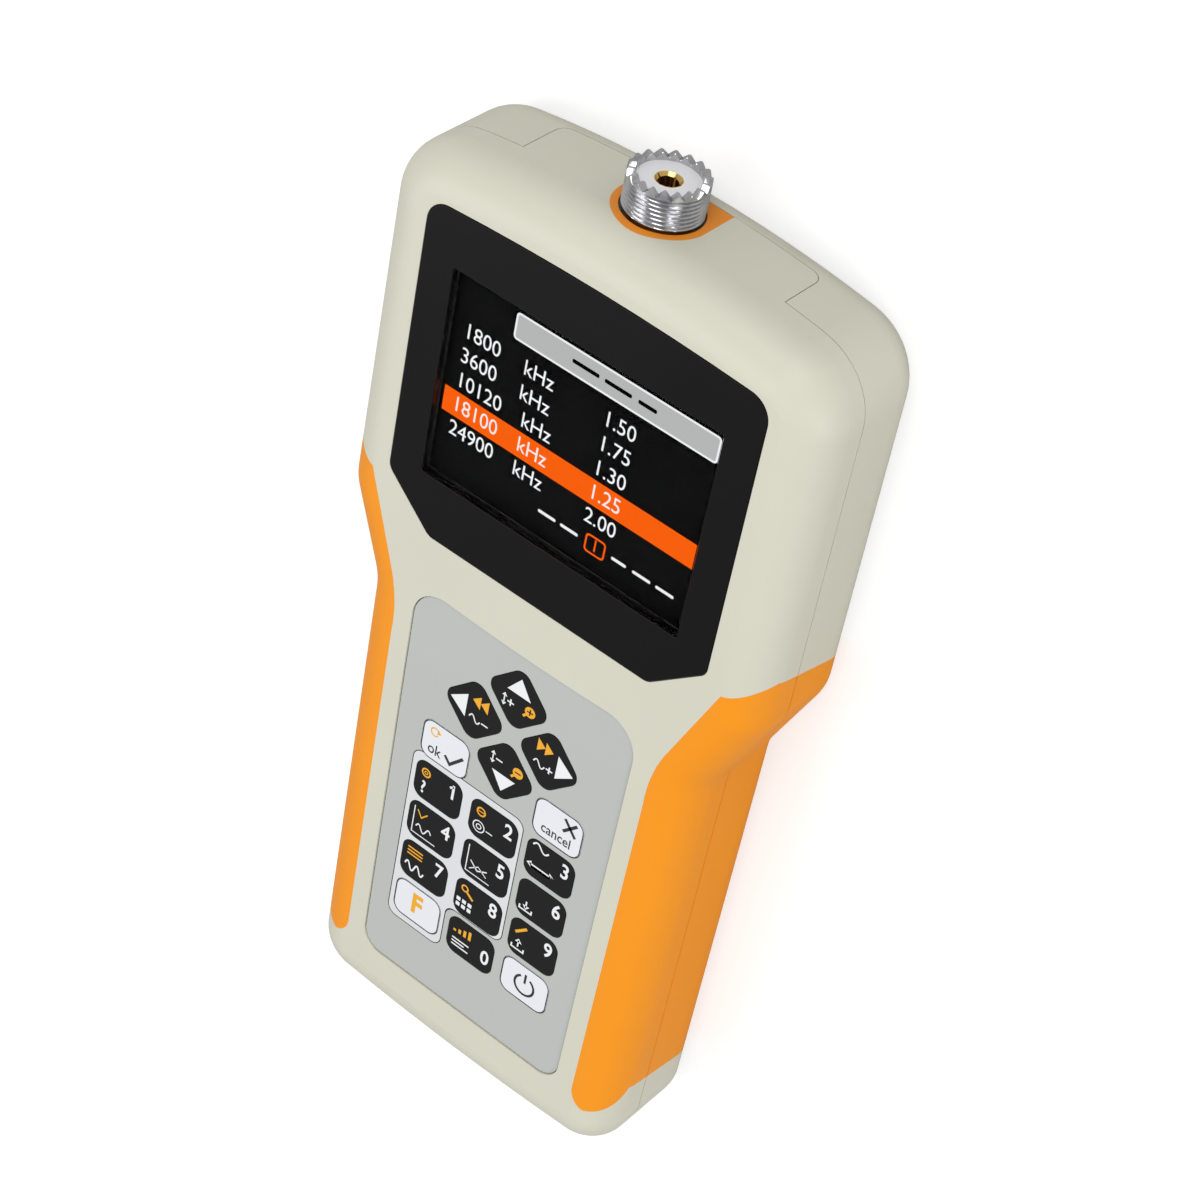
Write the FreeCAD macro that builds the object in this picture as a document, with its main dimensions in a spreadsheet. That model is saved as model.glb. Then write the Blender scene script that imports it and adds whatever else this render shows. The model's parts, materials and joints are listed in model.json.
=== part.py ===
import FreeCAD, Part
import math
import os
from types import SimpleNamespace

import Sketcher
from FreeCAD import Placement, Rotation, Vector

# Hand-held antenna analyzer, lying on its back: X to the right, Y towards the coaxial
# socket, Z up out of the display. The origin is under the middle of the whole length, on
# the back plane. Outlines are drawn with Y counted from the bottom end of the case.

VALUES = {
    # stations along the front, from the bottom end of the case to its top end
    "end_margin": 17.2,
    "keypad_length": 104.7,
    "bridge": 12.8,
    "window_length": 74.3,
    "top_margin": 13.0,
    # case
    "case_depth": 32.5,
    "head_width": 105.2,
    "head_taper": 0.4,
    "handle_width": 87.0,
    "handle_taper": 0.9,
    "flare_length": 21.0,
    "crown_rise": 5.3,
    "end_rise": 1.8,
    "head_corner": 14.5,
    "end_corner": 10.8,
    "flare_corner": 12.0,
    "waist_corner": 14.0,
    "front_rim": 9.0,
    "back_rim": 8.0,
    "rim_cut": 0.7,
    "wall": 2.4,
    # parting line and the front shell's tab on the top end
    "parting": 19.5,
    "tab_width": 61.5,
    "tab_level": 7.6,
    "tab_corner": 2.5,
    "tongue_height": 1.2,
    "tongue_gap": 0.15,
    "seam_gap": 0.2,
    "seam_depth": 0.4,
    # soft grips
    "grip_depth": 1.2,
    "grip_inset": 9.9,
    "grip_bend_drop": 7.7,
    "grip_swing_inset": 7.1,
    "grip_swing_lift": 8.3,
    "grip_swing_rise": 0.9,
    "grip_tip_inset": 8.1,
    "grip_tip_lift": 7.6,
    "grip_lean": 12.0,
    "grip_corner": 5.0,
    "grip_bottom": 14.6,
    "grip_foot": 22.5,
    "grip_foot_back": 18.0,
    "grip_shoulder_lift": 4.7,
    "grip_back_drop": 1.3,
    "grip_fold_drop": 6.9,
    "grip_fold_rise": 0.8,
    # display window
    "window_width": 80.8,
    "window_rise": 1.6,
    "window_foot": 56.4,
    "window_slope": 10.4,
    "window_thick": 1.4,
    "window_proud": 0.15,
    "window_gap": 0.15,
    "window_corner": 5.0,
    "window_soft": 3.0,
    "window_bevel": 0.15,
    # display
    "display_shift": 1.75,
    "display_width": 70.0,
    "display_height": 55.0,
    "display_thick": 2.7,
    "display_sink": 1.9,
    "display_gap": 0.25,
    "view_width": 65.0,
    "view_height": 49.0,
    "frame_sheet": 0.4,
    "frame_lip": 0.3,
    "panel_gap": 0.1,
    "pad_margin": 2.0,
    "pad_width": 4.0,
    # keypad
    "label_width": 58.0,
    "label_end_width": 55.8,
    "label_dip": 1.0,
    "label_corner": 7.5,
    "label_foot": 5.0,
    "label_gap": 0.25,
    "label_recess": 1.3,
    "circuit_thick": 0.25,
    "pad_thick": 0.05,
    "pad_side": 4.4,
    "room_margin": 0.4,
    "spacer_thick": 0.5,
    "overlay_thick": 0.2,
    "key_thick": 0.4,
    "key_proud": 0.05,
    "key_gap": 0.15,
    "key_width": 12.7,
    "key_height": 10.3,
    "key_corner": 2.6,
    "arrow_side": 11.8,
    "arrow_corner": 2.7,
    "key_pitch": 15.4,
    "key_row_pitch": 11.8,
    "key_row_drop": 48.7,
    "arrow_drop": 22.1,
    "arrow_reach": 10.0,
    "tail_width": 18.0,
    "tail_drop": 9.9,
    "slot_gap": 0.4,
    # coaxial socket
    "socket_height": 16.6,
    "socket_stand": 8.0,
    "thread_radius": 7.9375,
    "thread_gap": 0.3,
    "relief_depth": 0.5,
    "relief_gap": 0.4,
    "surround_radius": 9.8,
    "surround_thick": 1.6,
    "seat_drop": 0.7,
    "seat_width": 28.0,
    "seat_gap": 0.3,
    "flange_side": 25.4,
    "flange_thick": 1.8,
    "flange_corner": 2.0,
    "flange_pitch": 18.2,
    "rim_depth": 1.6,
    "rim_wall": 1.7,
    "rim_teeth": 18,
    "tooth_depth": 1.1,
    "rim_chamfer": 0.5,
    "tooth_share": 0.9,
    "tail_bore": 3.2,
    "contact_radius": 2.75,
    "contact_bore": 2.0,
    "contact_depth": 9.0,
    "contact_flare": 0.6,
    "contact_slot": 0.4,
    "stem_radius": 1.5,
    "stem_length": 10.0,
    "lead_radius": 0.6,
    "boss_radius": 4.2,
    "boss_length": 4.0,
    "bracket_thick": 1.2,
    "bracket_foot": 9.0,
    "bracket_foot_width": 10.0,
    # boards
    "board_thick": 1.6,
    "board_drop": 8.1,
    "board_margin": 6.6,
    "board_top_gap": 9.0,
    "board_neck_drop": 23.6,
    "board_neck_width": 70.0,
    "board_shoulder_lift": 1.3,
    "board_waist_drop": 1.7,
    "board_heel": 17.6,
    "board_tongue": 3.6,
    "board_tongue_width": 34.0,
    "can_width": 58.0,
    "can_length": 44.0,
    "can_height": 5.0,
    "can_top_gap": 20.0,
    "can_sheet": 0.3,
    "sounder_radius": 6.0,
    "sounder_height": 4.4,
    "sounder_hole": 1.0,
    "sounder_drop": 20.9,
    "header_margin": 3.0,
    "header_length": 3.2,
    "header_height": 1.6,
    "ribbon_width": 30.0,
    "ribbon_thick": 0.2,
    "ribbon_reach": 4.0,
    # data socket in the bottom end
    "data_width": 12.0,
    "data_height": 10.8,
    "data_length": 16.0,
    "data_wall": 0.4,
    "data_gap": 0.3,
    "data_set_back": 0.8,
    "data_tongue_width": 5.6,
    "data_tongue_height": 3.2,
    "data_tongue_back": 1.2,
    "data_block": 4.0,
    "data_plug_width": 8.9,
    "data_plug_height": 8.2,
    # cells and their bay
    "cell_radius": 7.2,
    "cell_length": 49.0,
    "nub_radius": 2.7,
    "nub_length": 1.5,
    "cell_gap": 0.8,
    "cell_lift": 1.1,
    "bay_side_gap": 1.6,
    "bay_bottom": 24.0,
    "bay_top_gap": 0.7,
    "bay_wall": 2.4,
    "spring_length": 6.9,
    "contact_plate": 0.5,
    "plate_side": 11.0,
    "spring_radius": 4.0,
    # battery cover
    "cover_thick": 1.8,
    "cover_set_in": 0.2,
    "cover_lap": 2.0,
    "cover_gap": 0.25,
    "cover_corner": 3.0,
    "arm_width": 8.0,
    "arm_height": 4.0,
    "arm_thick": 1.2,
    "arm_inset": 16.0,
    "thumb_radius": 8.0,
    "thumb_depth": 0.6,
    "thumb_inset": 9.4,
    # screws and bosses
    "screw_radius": 1.5,
    "screw_head": 2.8,
    "screw_head_depth": 1.8,
    "screw_sunk": 1.6,
    "screw_length": 24.0,
    "screw_post": 3.9,
    "small_screw": 1.0,
    "small_head": 1.9,
    "small_head_depth": 1.2,
    "small_length": 4.6,
    "small_post": 2.6,
    "screw_gap": 0.25,
    "screw_end_gap": 0.6,
    "post_root": 0.4,
    "screw_side_head": 12.6,
    "screw_drop_head": 19.0,
    "screw_side_end": 13.0,
    "screw_y_end": 13.0,
    "post_side_head": 11.1,
    "post_drop_head": 32.0,
    "post_lift_head": 15.3,
    "post_side_handle": 10.5,
    "post_drop_handle": 21.7,
    "post_y_end": 30.0,
}

KEYPAD = (
    ("key_ok", None, "key_cancel"),
    ("key_1", "key_2", "key_3"),
    ("key_4", "key_5", "key_6"),
    ("key_7", "key_8", "key_9"),
    ("key_function", "key_0", "key_power"),
)
ARROWS = {"key_up": (0, 1), "key_down": (0, -1), "key_left": (-1, 0), "key_right": (1, 0)}


class Size:
    """A length as a number, with the formula that binds an object to the sheet."""

    def __init__(self, value, formula):
        self.value = value
        self.formula = formula

    def __add__(self, other):
        return Size(self.value + number(other), f"({self.formula} + {formula(other)})")

    def __sub__(self, other):
        return Size(self.value - number(other), f"({self.formula} - {formula(other)})")

    def __mul__(self, other):
        return Size(self.value * number(other), f"({self.formula} * {formula(other)})")

    def __truediv__(self, other):
        return Size(self.value / number(other), f"({self.formula} / {formula(other)})")

    def __neg__(self):
        return Size(-self.value, f"(0 - {self.formula})")


def number(size):
    return size.value if isinstance(size, Size) else size


def formula(size):
    return size.formula if isinstance(size, Size) else f"({size})"


def root(size):
    return Size(math.sqrt(size.value), f"sqrt({size.formula})")


doc = FreeCAD.newDocument("analyzer")
sheet = doc.addObject("Spreadsheet::Sheet", "Sizes")
for row, (alias, value) in enumerate(VALUES.items(), start=1):
    sheet.set(f"A{row}", alias)
    sheet.set(f"B{row}", str(value))
    sheet.setAlias(f"B{row}", alias)
doc.recompute()
s = SimpleNamespace(**{alias: Size(value, f"Sizes.{alias}") for alias, value in VALUES.items()})
ZERO = Size(0.0, "0")

# heights and stations shared by several pieces
label_high = s.end_margin + s.keypad_length
window_low = label_high + s.bridge
window_high = window_low + s.window_length
case_length = window_high + s.top_margin
flare_top = window_low
flare_low = flare_top - s.flare_length
overall = case_length + s.socket_stand
base_y = -overall / 2
half_head = s.head_width / 2
half_handle = s.handle_width / 2
slope_top = window_low + s.window_slope
display_y = (window_low + window_high) / 2 + s.display_shift
key_row_y = label_high - s.key_row_drop
arrow_y = label_high - s.arrow_drop
tail_y = label_high - s.tail_drop
window_seat = s.case_depth + s.window_proud - s.window_thick
label_floor = s.case_depth - s.label_recess
circuit_top = label_floor + s.circuit_thick
spacer_top = circuit_top + s.spacer_thick
overlay_top = spacer_top + s.overlay_thick
board_rear = s.case_depth - s.board_drop
board_front = board_rear + s.board_thick
inner_front = s.case_depth - s.wall
display_top = s.case_depth - s.display_sink
display_back = display_top - s.display_thick
seat_y = case_length - s.wall - s.seat_drop
socket_room = s.thread_radius + s.thread_gap
cover_face = s.cover_set_in + s.cover_thick
cell_pitch = s.cell_radius * 2 + s.cell_gap
cell_height = cover_face + s.cell_lift + s.cell_radius
bay_roof = cell_height + s.cell_radius + s.bay_top_gap
bay_width = (cell_pitch + s.cell_radius + s.bay_side_gap) * 2
bay_top = s.bay_bottom + s.contact_plate * 2 + s.cell_length + s.nub_length + s.spring_length
nodes = {}


def bind(obj, **sizes):
    for prop, size in sizes.items():
        setattr(obj, prop, number(size))
        obj.setExpression(prop, formula(size))


def place(obj, x=0, y=0, z=0, rotation=None):
    obj.Placement = Placement(Vector(number(x), number(y), number(z)), rotation or Rotation())
    for axis, size in zip("xyz", (x, y, z)):
        obj.setExpression(f"Placement.Base.{axis}", formula(size))
    return obj


def keep(node, obj, x=0, y=ZERO, z=0, rotation=None):
    """Names a finished sub-part and sets it in the frame of the whole object."""
    obj.Label = node
    place(obj, x, base_y + y, z, rotation)
    nodes[node] = obj
    return obj


# sketches and bodies

def sketch_in(body, name, role="XY_Plane", level=0):
    sketch = body.newObject("Sketcher::SketchObject", name)
    plane = next(item for item in body.Origin.OriginFeatures if item.Role == role)
    sketch.AttachmentSupport = [(plane, "")]
    sketch.MapMode = "FlatFace"
    sketch.AttachmentOffset = Placement(Vector(0, 0, number(level)), Rotation())
    sketch.setExpression("AttachmentOffset.Base.z", formula(level))
    return sketch


def fix(sketch, kind, geometry, point, size):
    index = sketch.addConstraint(Sketcher.Constraint(kind, -1, 1, geometry, point, number(size)))
    sketch.setExpression(f"Constraints[{index}]", formula(size))


def arc_edge(sketch, start, end, rise):
    """Adds an arc that rises to the right of the way from start to end, or dips where rise < 0."""
    run_x = end[0] - start[0]
    run_y = end[1] - start[1]
    square = run_x * run_x + run_y * run_y
    radius = (square / 4 + rise * rise) / (rise * 2)
    chord = math.sqrt(square.value)
    middle_x = (start[0].value + end[0].value) / 2
    middle_y = (start[1].value + end[1].value) / 2
    back = radius.value - rise.value
    centre = Vector(middle_x - run_y.value / chord * back, middle_y + run_x.value / chord * back, 0)
    first, last = (start, end) if rise.value > 0 else (end, start)
    angles = [math.atan2(p[1].value - centre.y, p[0].value - centre.x) for p in (first, last)]
    if angles[1] < angles[0]:
        angles[1] += math.tau
    circle = Part.Circle(centre, Vector(0, 0, 1), abs(radius.value))
    edge = sketch.addGeometry(Part.ArcOfCircle(circle, angles[0], angles[1]), False)
    index = sketch.addConstraint(Sketcher.Constraint("Radius", edge, abs(radius.value)))
    sketch.setExpression(f"Constraints[{index}]", f"abs({radius.formula})")
    return (edge, 1, 2) if rise.value > 0 else (edge, 2, 1)


def outline(sketch, points, rises=None):
    """Draws a closed outline; rises maps an edge's number to the rise that makes it an arc."""
    points = [tuple(p if isinstance(p, Size) else Size(p, f"({p})") for p in point) for point in points]
    edges = []
    for i, start in enumerate(points):
        end = points[(i + 1) % len(points)]
        if rises and i in rises:
            edges.append(arc_edge(sketch, start, end, rises[i]))
        else:
            line = Part.LineSegment(
                Vector(start[0].value, start[1].value, 0), Vector(end[0].value, end[1].value, 0)
            )
            edges.append((sketch.addGeometry(line, False), 1, 2))
    for i, (edge, first, last) in enumerate(edges):
        before, _, before_last = edges[i - 1]
        sketch.addConstraint(Sketcher.Constraint("Coincident", before, before_last, edge, first))
        fix(sketch, "DistanceX", edge, first, points[i][0])
        fix(sketch, "DistanceY", edge, first, points[i][1])


def circle_in(sketch, x, y, radius):
    circle = Part.Circle(Vector(number(x), number(y), 0), Vector(0, 0, 1), number(radius))
    edge = sketch.addGeometry(circle, False)
    fix(sketch, "DistanceX", edge, 3, x)
    fix(sketch, "DistanceY", edge, 3, y)
    index = sketch.addConstraint(Sketcher.Constraint("Radius", edge, number(radius)))
    sketch.setExpression(f"Constraints[{index}]", formula(radius))


def mirrored(points):
    """Closes a right-hand half outline, from the bottom up, with its mirror image."""
    return points + [(-x, y) for x, y in reversed(points)]


def pad(body, sketch, length, reverse=False):
    feature = body.newObject("PartDesign::Pad", f"{sketch.Name}_pad")
    feature.Profile = sketch
    feature.Reversed = reverse
    bind(feature, Length=length)
    return feature


def round_off(body, name, radius, pick, kind="Fillet"):
    """Rounds or chamfers the edges of the body so far that pick chooses."""
    doc.recompute()
    base = body.Tip
    edges = [f"Edge{i}" for i, edge in enumerate(base.Shape.Edges, start=1) if pick(edge)]
    feature = body.newObject(f"PartDesign::{kind}", name)
    feature.Base = (base, edges)
    bind(feature, **{"Radius" if kind == "Fillet" else "Size": radius})
    return feature


def body_named(name):
    return doc.addObject("PartDesign::Body", name)


def upright(edge):
    """True for an edge that runs mostly along Z."""
    ends = [vertex.Point for vertex in edge.Vertexes]
    return len(ends) == 2 and abs(ends[0].z - ends[1].z) > 0.9 * edge.Length


def upright_between(low, high):
    """Chooses upright edges whose Y lies between two stations."""
    return lambda edge: upright(edge) and number(low) <= edge.CenterOfMass.y <= number(high)


def level_at(height):
    """Chooses the edges that lie flat at a height."""
    return lambda edge: all(abs(vertex.Z - number(height)) < 1e-4 for vertex in edge.Vertexes)


def plate(name, points, bottom, thick, rises=None):
    body = body_named(name)
    sketch = sketch_in(body, f"{name}_outline", level=bottom)
    outline(sketch, points, rises)
    pad(body, sketch, thick)
    return body


# primitives and booleans

def block(name, x_range, y_range, z_range):
    box = doc.addObject("Part::Box", name)
    spans = [axis[1] - axis[0] for axis in (x_range, y_range, z_range)]
    bind(box, Length=spans[0], Width=spans[1], Height=spans[2])
    return place(box, x_range[0], y_range[0], z_range[0])


def middle_block(name, width, y_range, z_range):
    return block(name, (-width / 2, width / 2), y_range, z_range)


def rod(name, radius, length, x, y, z, along="Z"):
    cylinder = doc.addObject("Part::Cylinder", name)
    bind(cylinder, Radius=radius, Height=length)
    rotation = Rotation(Vector(1, 0, 0), -90) if along == "Y" else Rotation()
    return place(cylinder, x, y, z, rotation)


def cut(name, base, tool):
    result = doc.addObject("Part::Cut", name)
    result.Base = base
    result.Tool = tool
    return result


def join(name, shapes):
    result = doc.addObject("Part::MultiFuse", name)
    result.Shapes = shapes
    return result


def overlap(name, shapes):
    result = doc.addObject("Part::MultiCommon", name)
    result.Shapes = shapes
    return result


def group(name, shapes):
    result = doc.addObject("Part::Compound", name)
    result.Links = shapes
    return result


# the case

def case_body(name, inset):
    """The case's outer form, or the same form drawn in by inset, with straight cuts for round rims."""
    body = body_named(name)
    sketch = sketch_in(body, f"{name}_outline", level=inset)
    top = case_length - s.crown_rise - inset
    half = [
        (half_handle - s.handle_taper - inset, s.end_rise + inset),
        (half_handle - inset, flare_low),
        (half_head - inset, flare_top),
        (half_head - s.head_taper - inset, top),
    ]
    outline(sketch, mirrored(half), {3: s.crown_rise, 7: s.end_rise})
    pad(body, sketch, s.case_depth - inset * 2)
    head_middle = (flare_top + case_length) / 2
    flare_middle = (flare_low + flare_top) / 2
    head = upright_between(head_middle, case_length)
    round_off(body, f"{name}_head", s.head_corner - inset, head)
    round_off(body, f"{name}_end", s.end_corner - inset, upright_between(ZERO, flare_low / 2))
    round_off(body, f"{name}_flare", s.flare_corner - inset, upright_between(flare_middle, head_middle))
    round_off(body, f"{name}_waist", s.waist_corner + inset, upright_between(flare_low / 2, flare_middle))
    inner = inset.value > 0
    kind = "Chamfer" if inner else "Fillet"
    share = s.rim_cut if inner else 1
    round_off(body, f"{name}_front", (s.front_rim - inset) * share, level_at(s.case_depth - inset), kind)
    round_off(body, f"{name}_back", (s.back_rim - inset) * share, level_at(inset), kind)
    doc.recompute()
    return body


def front_zone(name, spread):
    """All in front of the parting line, with the tab that steps back on the top end, let out by spread."""
    margin = s.wall * 4
    wide = s.head_width + margin
    front = middle_block(
        f"{name}_front", wide, (-margin, case_length + margin), (s.parting - spread, s.case_depth + margin)
    )
    tab = body_named(f"{name}_tab")
    sketch = sketch_in(tab, f"{name}_tab_outline", "XZ_Plane", -(case_length + margin))
    half = s.tab_width / 2 + spread
    outline(sketch, mirrored([(half, s.tab_level - spread), (half, s.parting + margin)]))
    pad(tab, sketch, s.wall * 2 + margin + s.crown_rise)
    round_off(tab, f"{name}_tab_round", s.tab_corner + spread, tab_foot)
    return join(name, [front, tab])


def tab_foot(edge):
    """True for the tab's two lower edges, which run along Y."""
    return abs(edge.tangentAt(edge.FirstParameter).y) > 0.9 and edge.CenterOfMass.z < s.parting.value


def seam(form):
    """The fine shadow groove that follows the parting line and the tab all round the case."""
    half = s.seam_gap / 2
    band = cut("seam_band", front_zone("seam_outside", half), front_zone("seam_inside", -half))
    return overlap("seam", [band, cut("seam_skin", form, case_body("seam_floor", s.seam_depth))])


def grip_zones():
    """The parts of the outer layer that are grip, on the right and on the left."""
    far = s.head_width
    plan = body_named("grip_plan")
    sketch = sketch_in(plan, "grip_plan_outline")
    edge_x = half_handle - s.grip_inset
    edge_low = edge_x - s.handle_taper
    tip = (half_head - s.grip_tip_inset, flare_top + s.grip_tip_lift)
    bend_y = flare_low - s.grip_bend_drop
    swing = (half_handle - s.grip_swing_inset, flare_low + s.grip_swing_lift)
    points = [
        (edge_low + s.grip_corner, s.grip_bottom),
        (far, s.grip_bottom),
        (far, case_length),
        (tip[0] + s.grip_lean, case_length),
        tip,
        swing,
        (edge_x, bend_y),
        (edge_low, s.grip_bottom + s.grip_corner),
    ]
    outline(sketch, points, {5: s.grip_swing_rise, 7: s.grip_corner * (1 - math.sqrt(0.5))})
    pad(plan, sketch, s.case_depth)
    side = body_named("grip_side")
    sketch = sketch_in(side, "grip_side_outline", "YZ_Plane", -far)
    fold = s.case_depth - s.grip_fold_drop
    points = [
        (s.grip_foot_back, ZERO),
        (tip[1] - s.grip_back_drop, ZERO),
        (tip[1] + s.grip_shoulder_lift, fold),
        (tip[1], s.case_depth),
        (s.grip_bottom, s.case_depth),
        (s.grip_foot, fold),
    ]
    outline(sketch, points, {2: s.grip_fold_rise, 4: s.grip_fold_rise})
    pad(side, sketch, far * 2)
    right = overlap("grip_zone_right", [plan, side])
    left = doc.addObject("Part::Mirroring", "grip_zone_left")
    left.Source = right
    left.Normal = Vector(1, 0, 0)
    return right, left


def both_sides(*places):
    return [(x * side, y) for x, y in places for side in (-1, 1)]


def case_screw_places():
    head = (half_head - s.screw_side_head, case_length - s.screw_drop_head)
    return both_sides(head, (half_handle - s.screw_side_end, s.screw_y_end))


def board_screw_places():
    head_x = half_head - s.post_side_head
    handle_x = half_handle - s.post_side_handle
    return both_sides(
        (head_x, case_length - s.post_drop_head),
        (head_x, flare_top + s.post_lift_head),
        (handle_x, flare_low - s.post_drop_handle),
        (handle_x, s.post_y_end),
    )


def window_body(name, gap, bottom, thick):
    """The window's outline, let out by gap."""
    half = [
        (s.window_foot / 2 + gap, window_low - gap),
        (s.window_width / 2 + gap, slope_top - gap),
        (s.window_width / 2 + gap, window_high + gap),
    ]
    body = plate(name, mirrored(half), bottom, thick, {2: s.window_rise})
    split = (slope_top + window_high) / 2
    round_off(body, f"{name}_top", s.window_corner + gap, upright_between(split, case_length))
    round_off(body, f"{name}_low", s.window_soft + gap, upright_between(ZERO, split))
    return body


def label_body(name, gap, bottom, thick):
    """The keypad sheets' outline, let out by gap."""
    half = [
        (s.label_end_width / 2 + gap, s.end_margin - gap),
        (s.label_width / 2 + gap, label_high + gap),
    ]
    body = plate(name, mirrored(half), bottom, thick, {1: -s.label_dip})
    round_off(body, f"{name}_top", s.label_corner + gap, upright_between(key_row_y, case_length))
    round_off(body, f"{name}_low", s.label_foot + gap, upright_between(ZERO, key_row_y))
    return body


def data_opening():
    half = s.data_width / 2 + s.data_gap
    heights = (board_rear - s.data_height - s.data_gap, board_rear + s.data_gap)
    return block("data_opening", (-half, half), (-s.wall, s.wall * 2), heights)


def surround_prism():
    """The surround's outline: round the socket in front, straight down to the tab's edge behind."""
    radius = s.surround_radius
    reach = s.surround_thick + s.wall
    floor = case_length - s.surround_thick
    y_range = (floor, floor + reach)
    disc = rod("surround_disc", radius, reach, ZERO, floor, s.socket_height, "Y")
    front = middle_block("surround_front", radius * 2, y_range, (s.tab_level, s.case_depth))
    back = middle_block("surround_back", radius * 2, y_range, (s.tab_level, s.socket_height))
    return join("surround_prism", [overlap("surround_arch", [disc, front]), back])


def socket_pocket():
    """Room inside both shells for the socket's flange, its bracket and the screw heads."""
    half = s.flange_side / 2 + s.seat_gap
    y_range = (seat_y - s.flange_thick - s.bracket_thick - s.screw_head_depth, seat_y)
    return block("socket_pocket", (-half, half), y_range, (s.socket_height - half, s.socket_height + half))


def tongue_ring(name, inset, height):
    """The inner part of the wall, from inset inwards, over a height above the parting line."""
    ring = cut(f"{name}_wall", case_body(f"{name}_outside", inset), case_body(f"{name}_inside", s.wall))
    slab = middle_block(f"{name}_slab", s.head_width, (ZERO, case_length), (s.parting, s.parting + height))
    return overlap(name, [ring, slab])


def tongue_stop():
    """The stretch of the top end where the front shell's tab takes the tongue's place."""
    y_range = (case_length - s.crown_rise - s.wall * 2, case_length)
    width = s.tab_width + s.tongue_gap * 2
    return middle_block("tongue_stop", width, y_range, (s.tab_level, s.case_depth))


def front_shell(form, skin, zone, grips, prism, opening, pocket):
    blank = overlap("front_blank", [skin, zone])
    seat_box = middle_block("seat_box", s.seat_width, (seat_y, case_length), (s.tab_level, s.case_depth))
    parts = [blank, overlap("socket_seat", [form, seat_box])]
    holes = [
        tongue_ring("rebate", s.grip_depth - s.tongue_gap, s.tongue_height + s.tongue_gap),
        window_body("window_recess", s.window_gap, window_seat, s.wall),
        label_body("label_recess_form", s.label_gap, label_floor, s.wall),
        display_aperture(),
        tail_slot(),
        rod("socket_hole", socket_room, s.wall * 3, ZERO, seat_y - s.wall, s.socket_height, "Y"),
        prism,
        opening,
        pocket,
    ]
    root_z = inner_front + s.post_root
    for i, (x, y) in enumerate(case_screw_places()):
        parts.append(rod(f"front_post_{i}", s.screw_post, root_z - s.parting, x, y, s.parting))
        depth = s.screw_sunk + s.screw_length - s.parting + s.screw_end_gap
        holes.append(rod(f"front_pilot_{i}", s.screw_radius, depth, x, y, s.parting))
    for i, (x, y) in enumerate(board_screw_places()):
        parts.append(rod(f"board_post_{i}", s.small_post, root_z - board_front, x, y, board_front))
        depth = s.small_length - s.board_thick + s.screw_end_gap
        holes.append(rod(f"board_pilot_{i}", s.small_screw, depth, x, y, board_front))
    solid = join("front_solid", parts)
    return keep("front_shell", cut("front_shell_cut", solid, join("front_holes", holes + grips)))


def display_aperture():
    half_x = s.display_width / 2 + s.display_gap
    half_y = s.display_height / 2 + s.display_gap
    y_range = (display_y - half_y, display_y + half_y)
    return block("display_aperture", (-half_x, half_x), y_range, (inner_front - s.wall, s.case_depth))


def tail_slot():
    half = s.tail_width / 2 + s.slot_gap
    y_range = (tail_y - s.slot_gap, tail_y + s.circuit_thick + s.slot_gap)
    return block("tail_slot", (-half, half), y_range, (inner_front - s.wall, s.case_depth))


def rear_shell(skin, zone, grips, opening, pocket):
    blank = cut("rear_blank", skin, zone)
    outside = s.bay_wall
    bay_y = (s.bay_bottom - outside, bay_top + outside)
    parts = [
        blank,
        middle_block("bay_box", bay_width + outside * 2, bay_y, (s.wall / 2, bay_roof + outside)),
        cut("tongue", tongue_ring("tongue_ring", s.grip_depth, s.tongue_height), tongue_stop()),
    ]
    inside = middle_block("bay_inside", bay_width, (s.bay_bottom, bay_top), (-s.wall, bay_roof))
    recess = cover_plate("cover_recess", s.cover_gap, -s.wall, cover_face + s.wall)
    holes = [inside, recess, opening, pocket]
    for i, (x, y) in enumerate(case_screw_places()):
        parts.append(rod(f"rear_post_{i}", s.screw_post, s.parting - s.wall / 2, x, y, s.wall / 2))
        sink = s.screw_sunk + s.screw_head_depth + s.wall
        holes.append(rod(f"screw_sink_{i}", s.screw_head + s.screw_gap, sink, x, y, -s.wall))
        holes.append(rod(f"screw_hole_{i}", s.screw_radius + s.screw_gap, s.parting, x, y, ZERO))
    solid = join("rear_solid", parts)
    return keep("rear_shell", cut("rear_shell_cut", solid, join("rear_holes", holes + grips)))


def case():
    form = case_body("case_form", ZERO)
    zone = front_zone("front_zone", ZERO)
    groove = seam(form)
    skin = cut("case_skin", form, join("case_inside", [case_body("case_core", s.wall), groove]))
    grip_skin = cut("grip_layer", form, join("grip_inside", [case_body("case_layer", s.grip_depth), groove]))
    prism = surround_prism()
    opening = data_opening()
    pocket = socket_pocket()
    zones = grip_zones()
    grips = [overlap(f"grip_whole_{i}", [grip_skin, grip_zone]) for i, grip_zone in enumerate(zones)]
    front_shell(form, skin, zone, grips, prism, opening, pocket)
    rear_shell(skin, zone, grips, opening, pocket)
    for side, whole in zip(("right", "left"), grips):
        keep(f"grip_{side}_front", overlap(f"grip_{side}_front_half", [whole, zone]))
        keep(f"grip_{side}_rear", cut(f"grip_{side}_rear_half", whole, zone))
    hole = rod("surround_hole", socket_room, s.wall * 4, ZERO, seat_y, s.socket_height, "Y")
    blank = overlap("surround_blank", [form, prism])
    keep("socket_surround", cut("surround_ring", blank, join("surround_holes", [hole, groove])))


def cover_plate(name, gap, bottom, thick):
    """The battery cover's outline, let out by gap."""
    half = bay_width / 2 + s.cover_lap + gap
    low = s.bay_bottom - s.cover_lap - gap
    high = bay_top + s.cover_lap + gap
    body = plate(name, mirrored([(half, low), (half, high)]), bottom, thick)
    round_off(body, f"{name}_corners", s.cover_corner + gap, upright)
    return body


# the display

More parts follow.
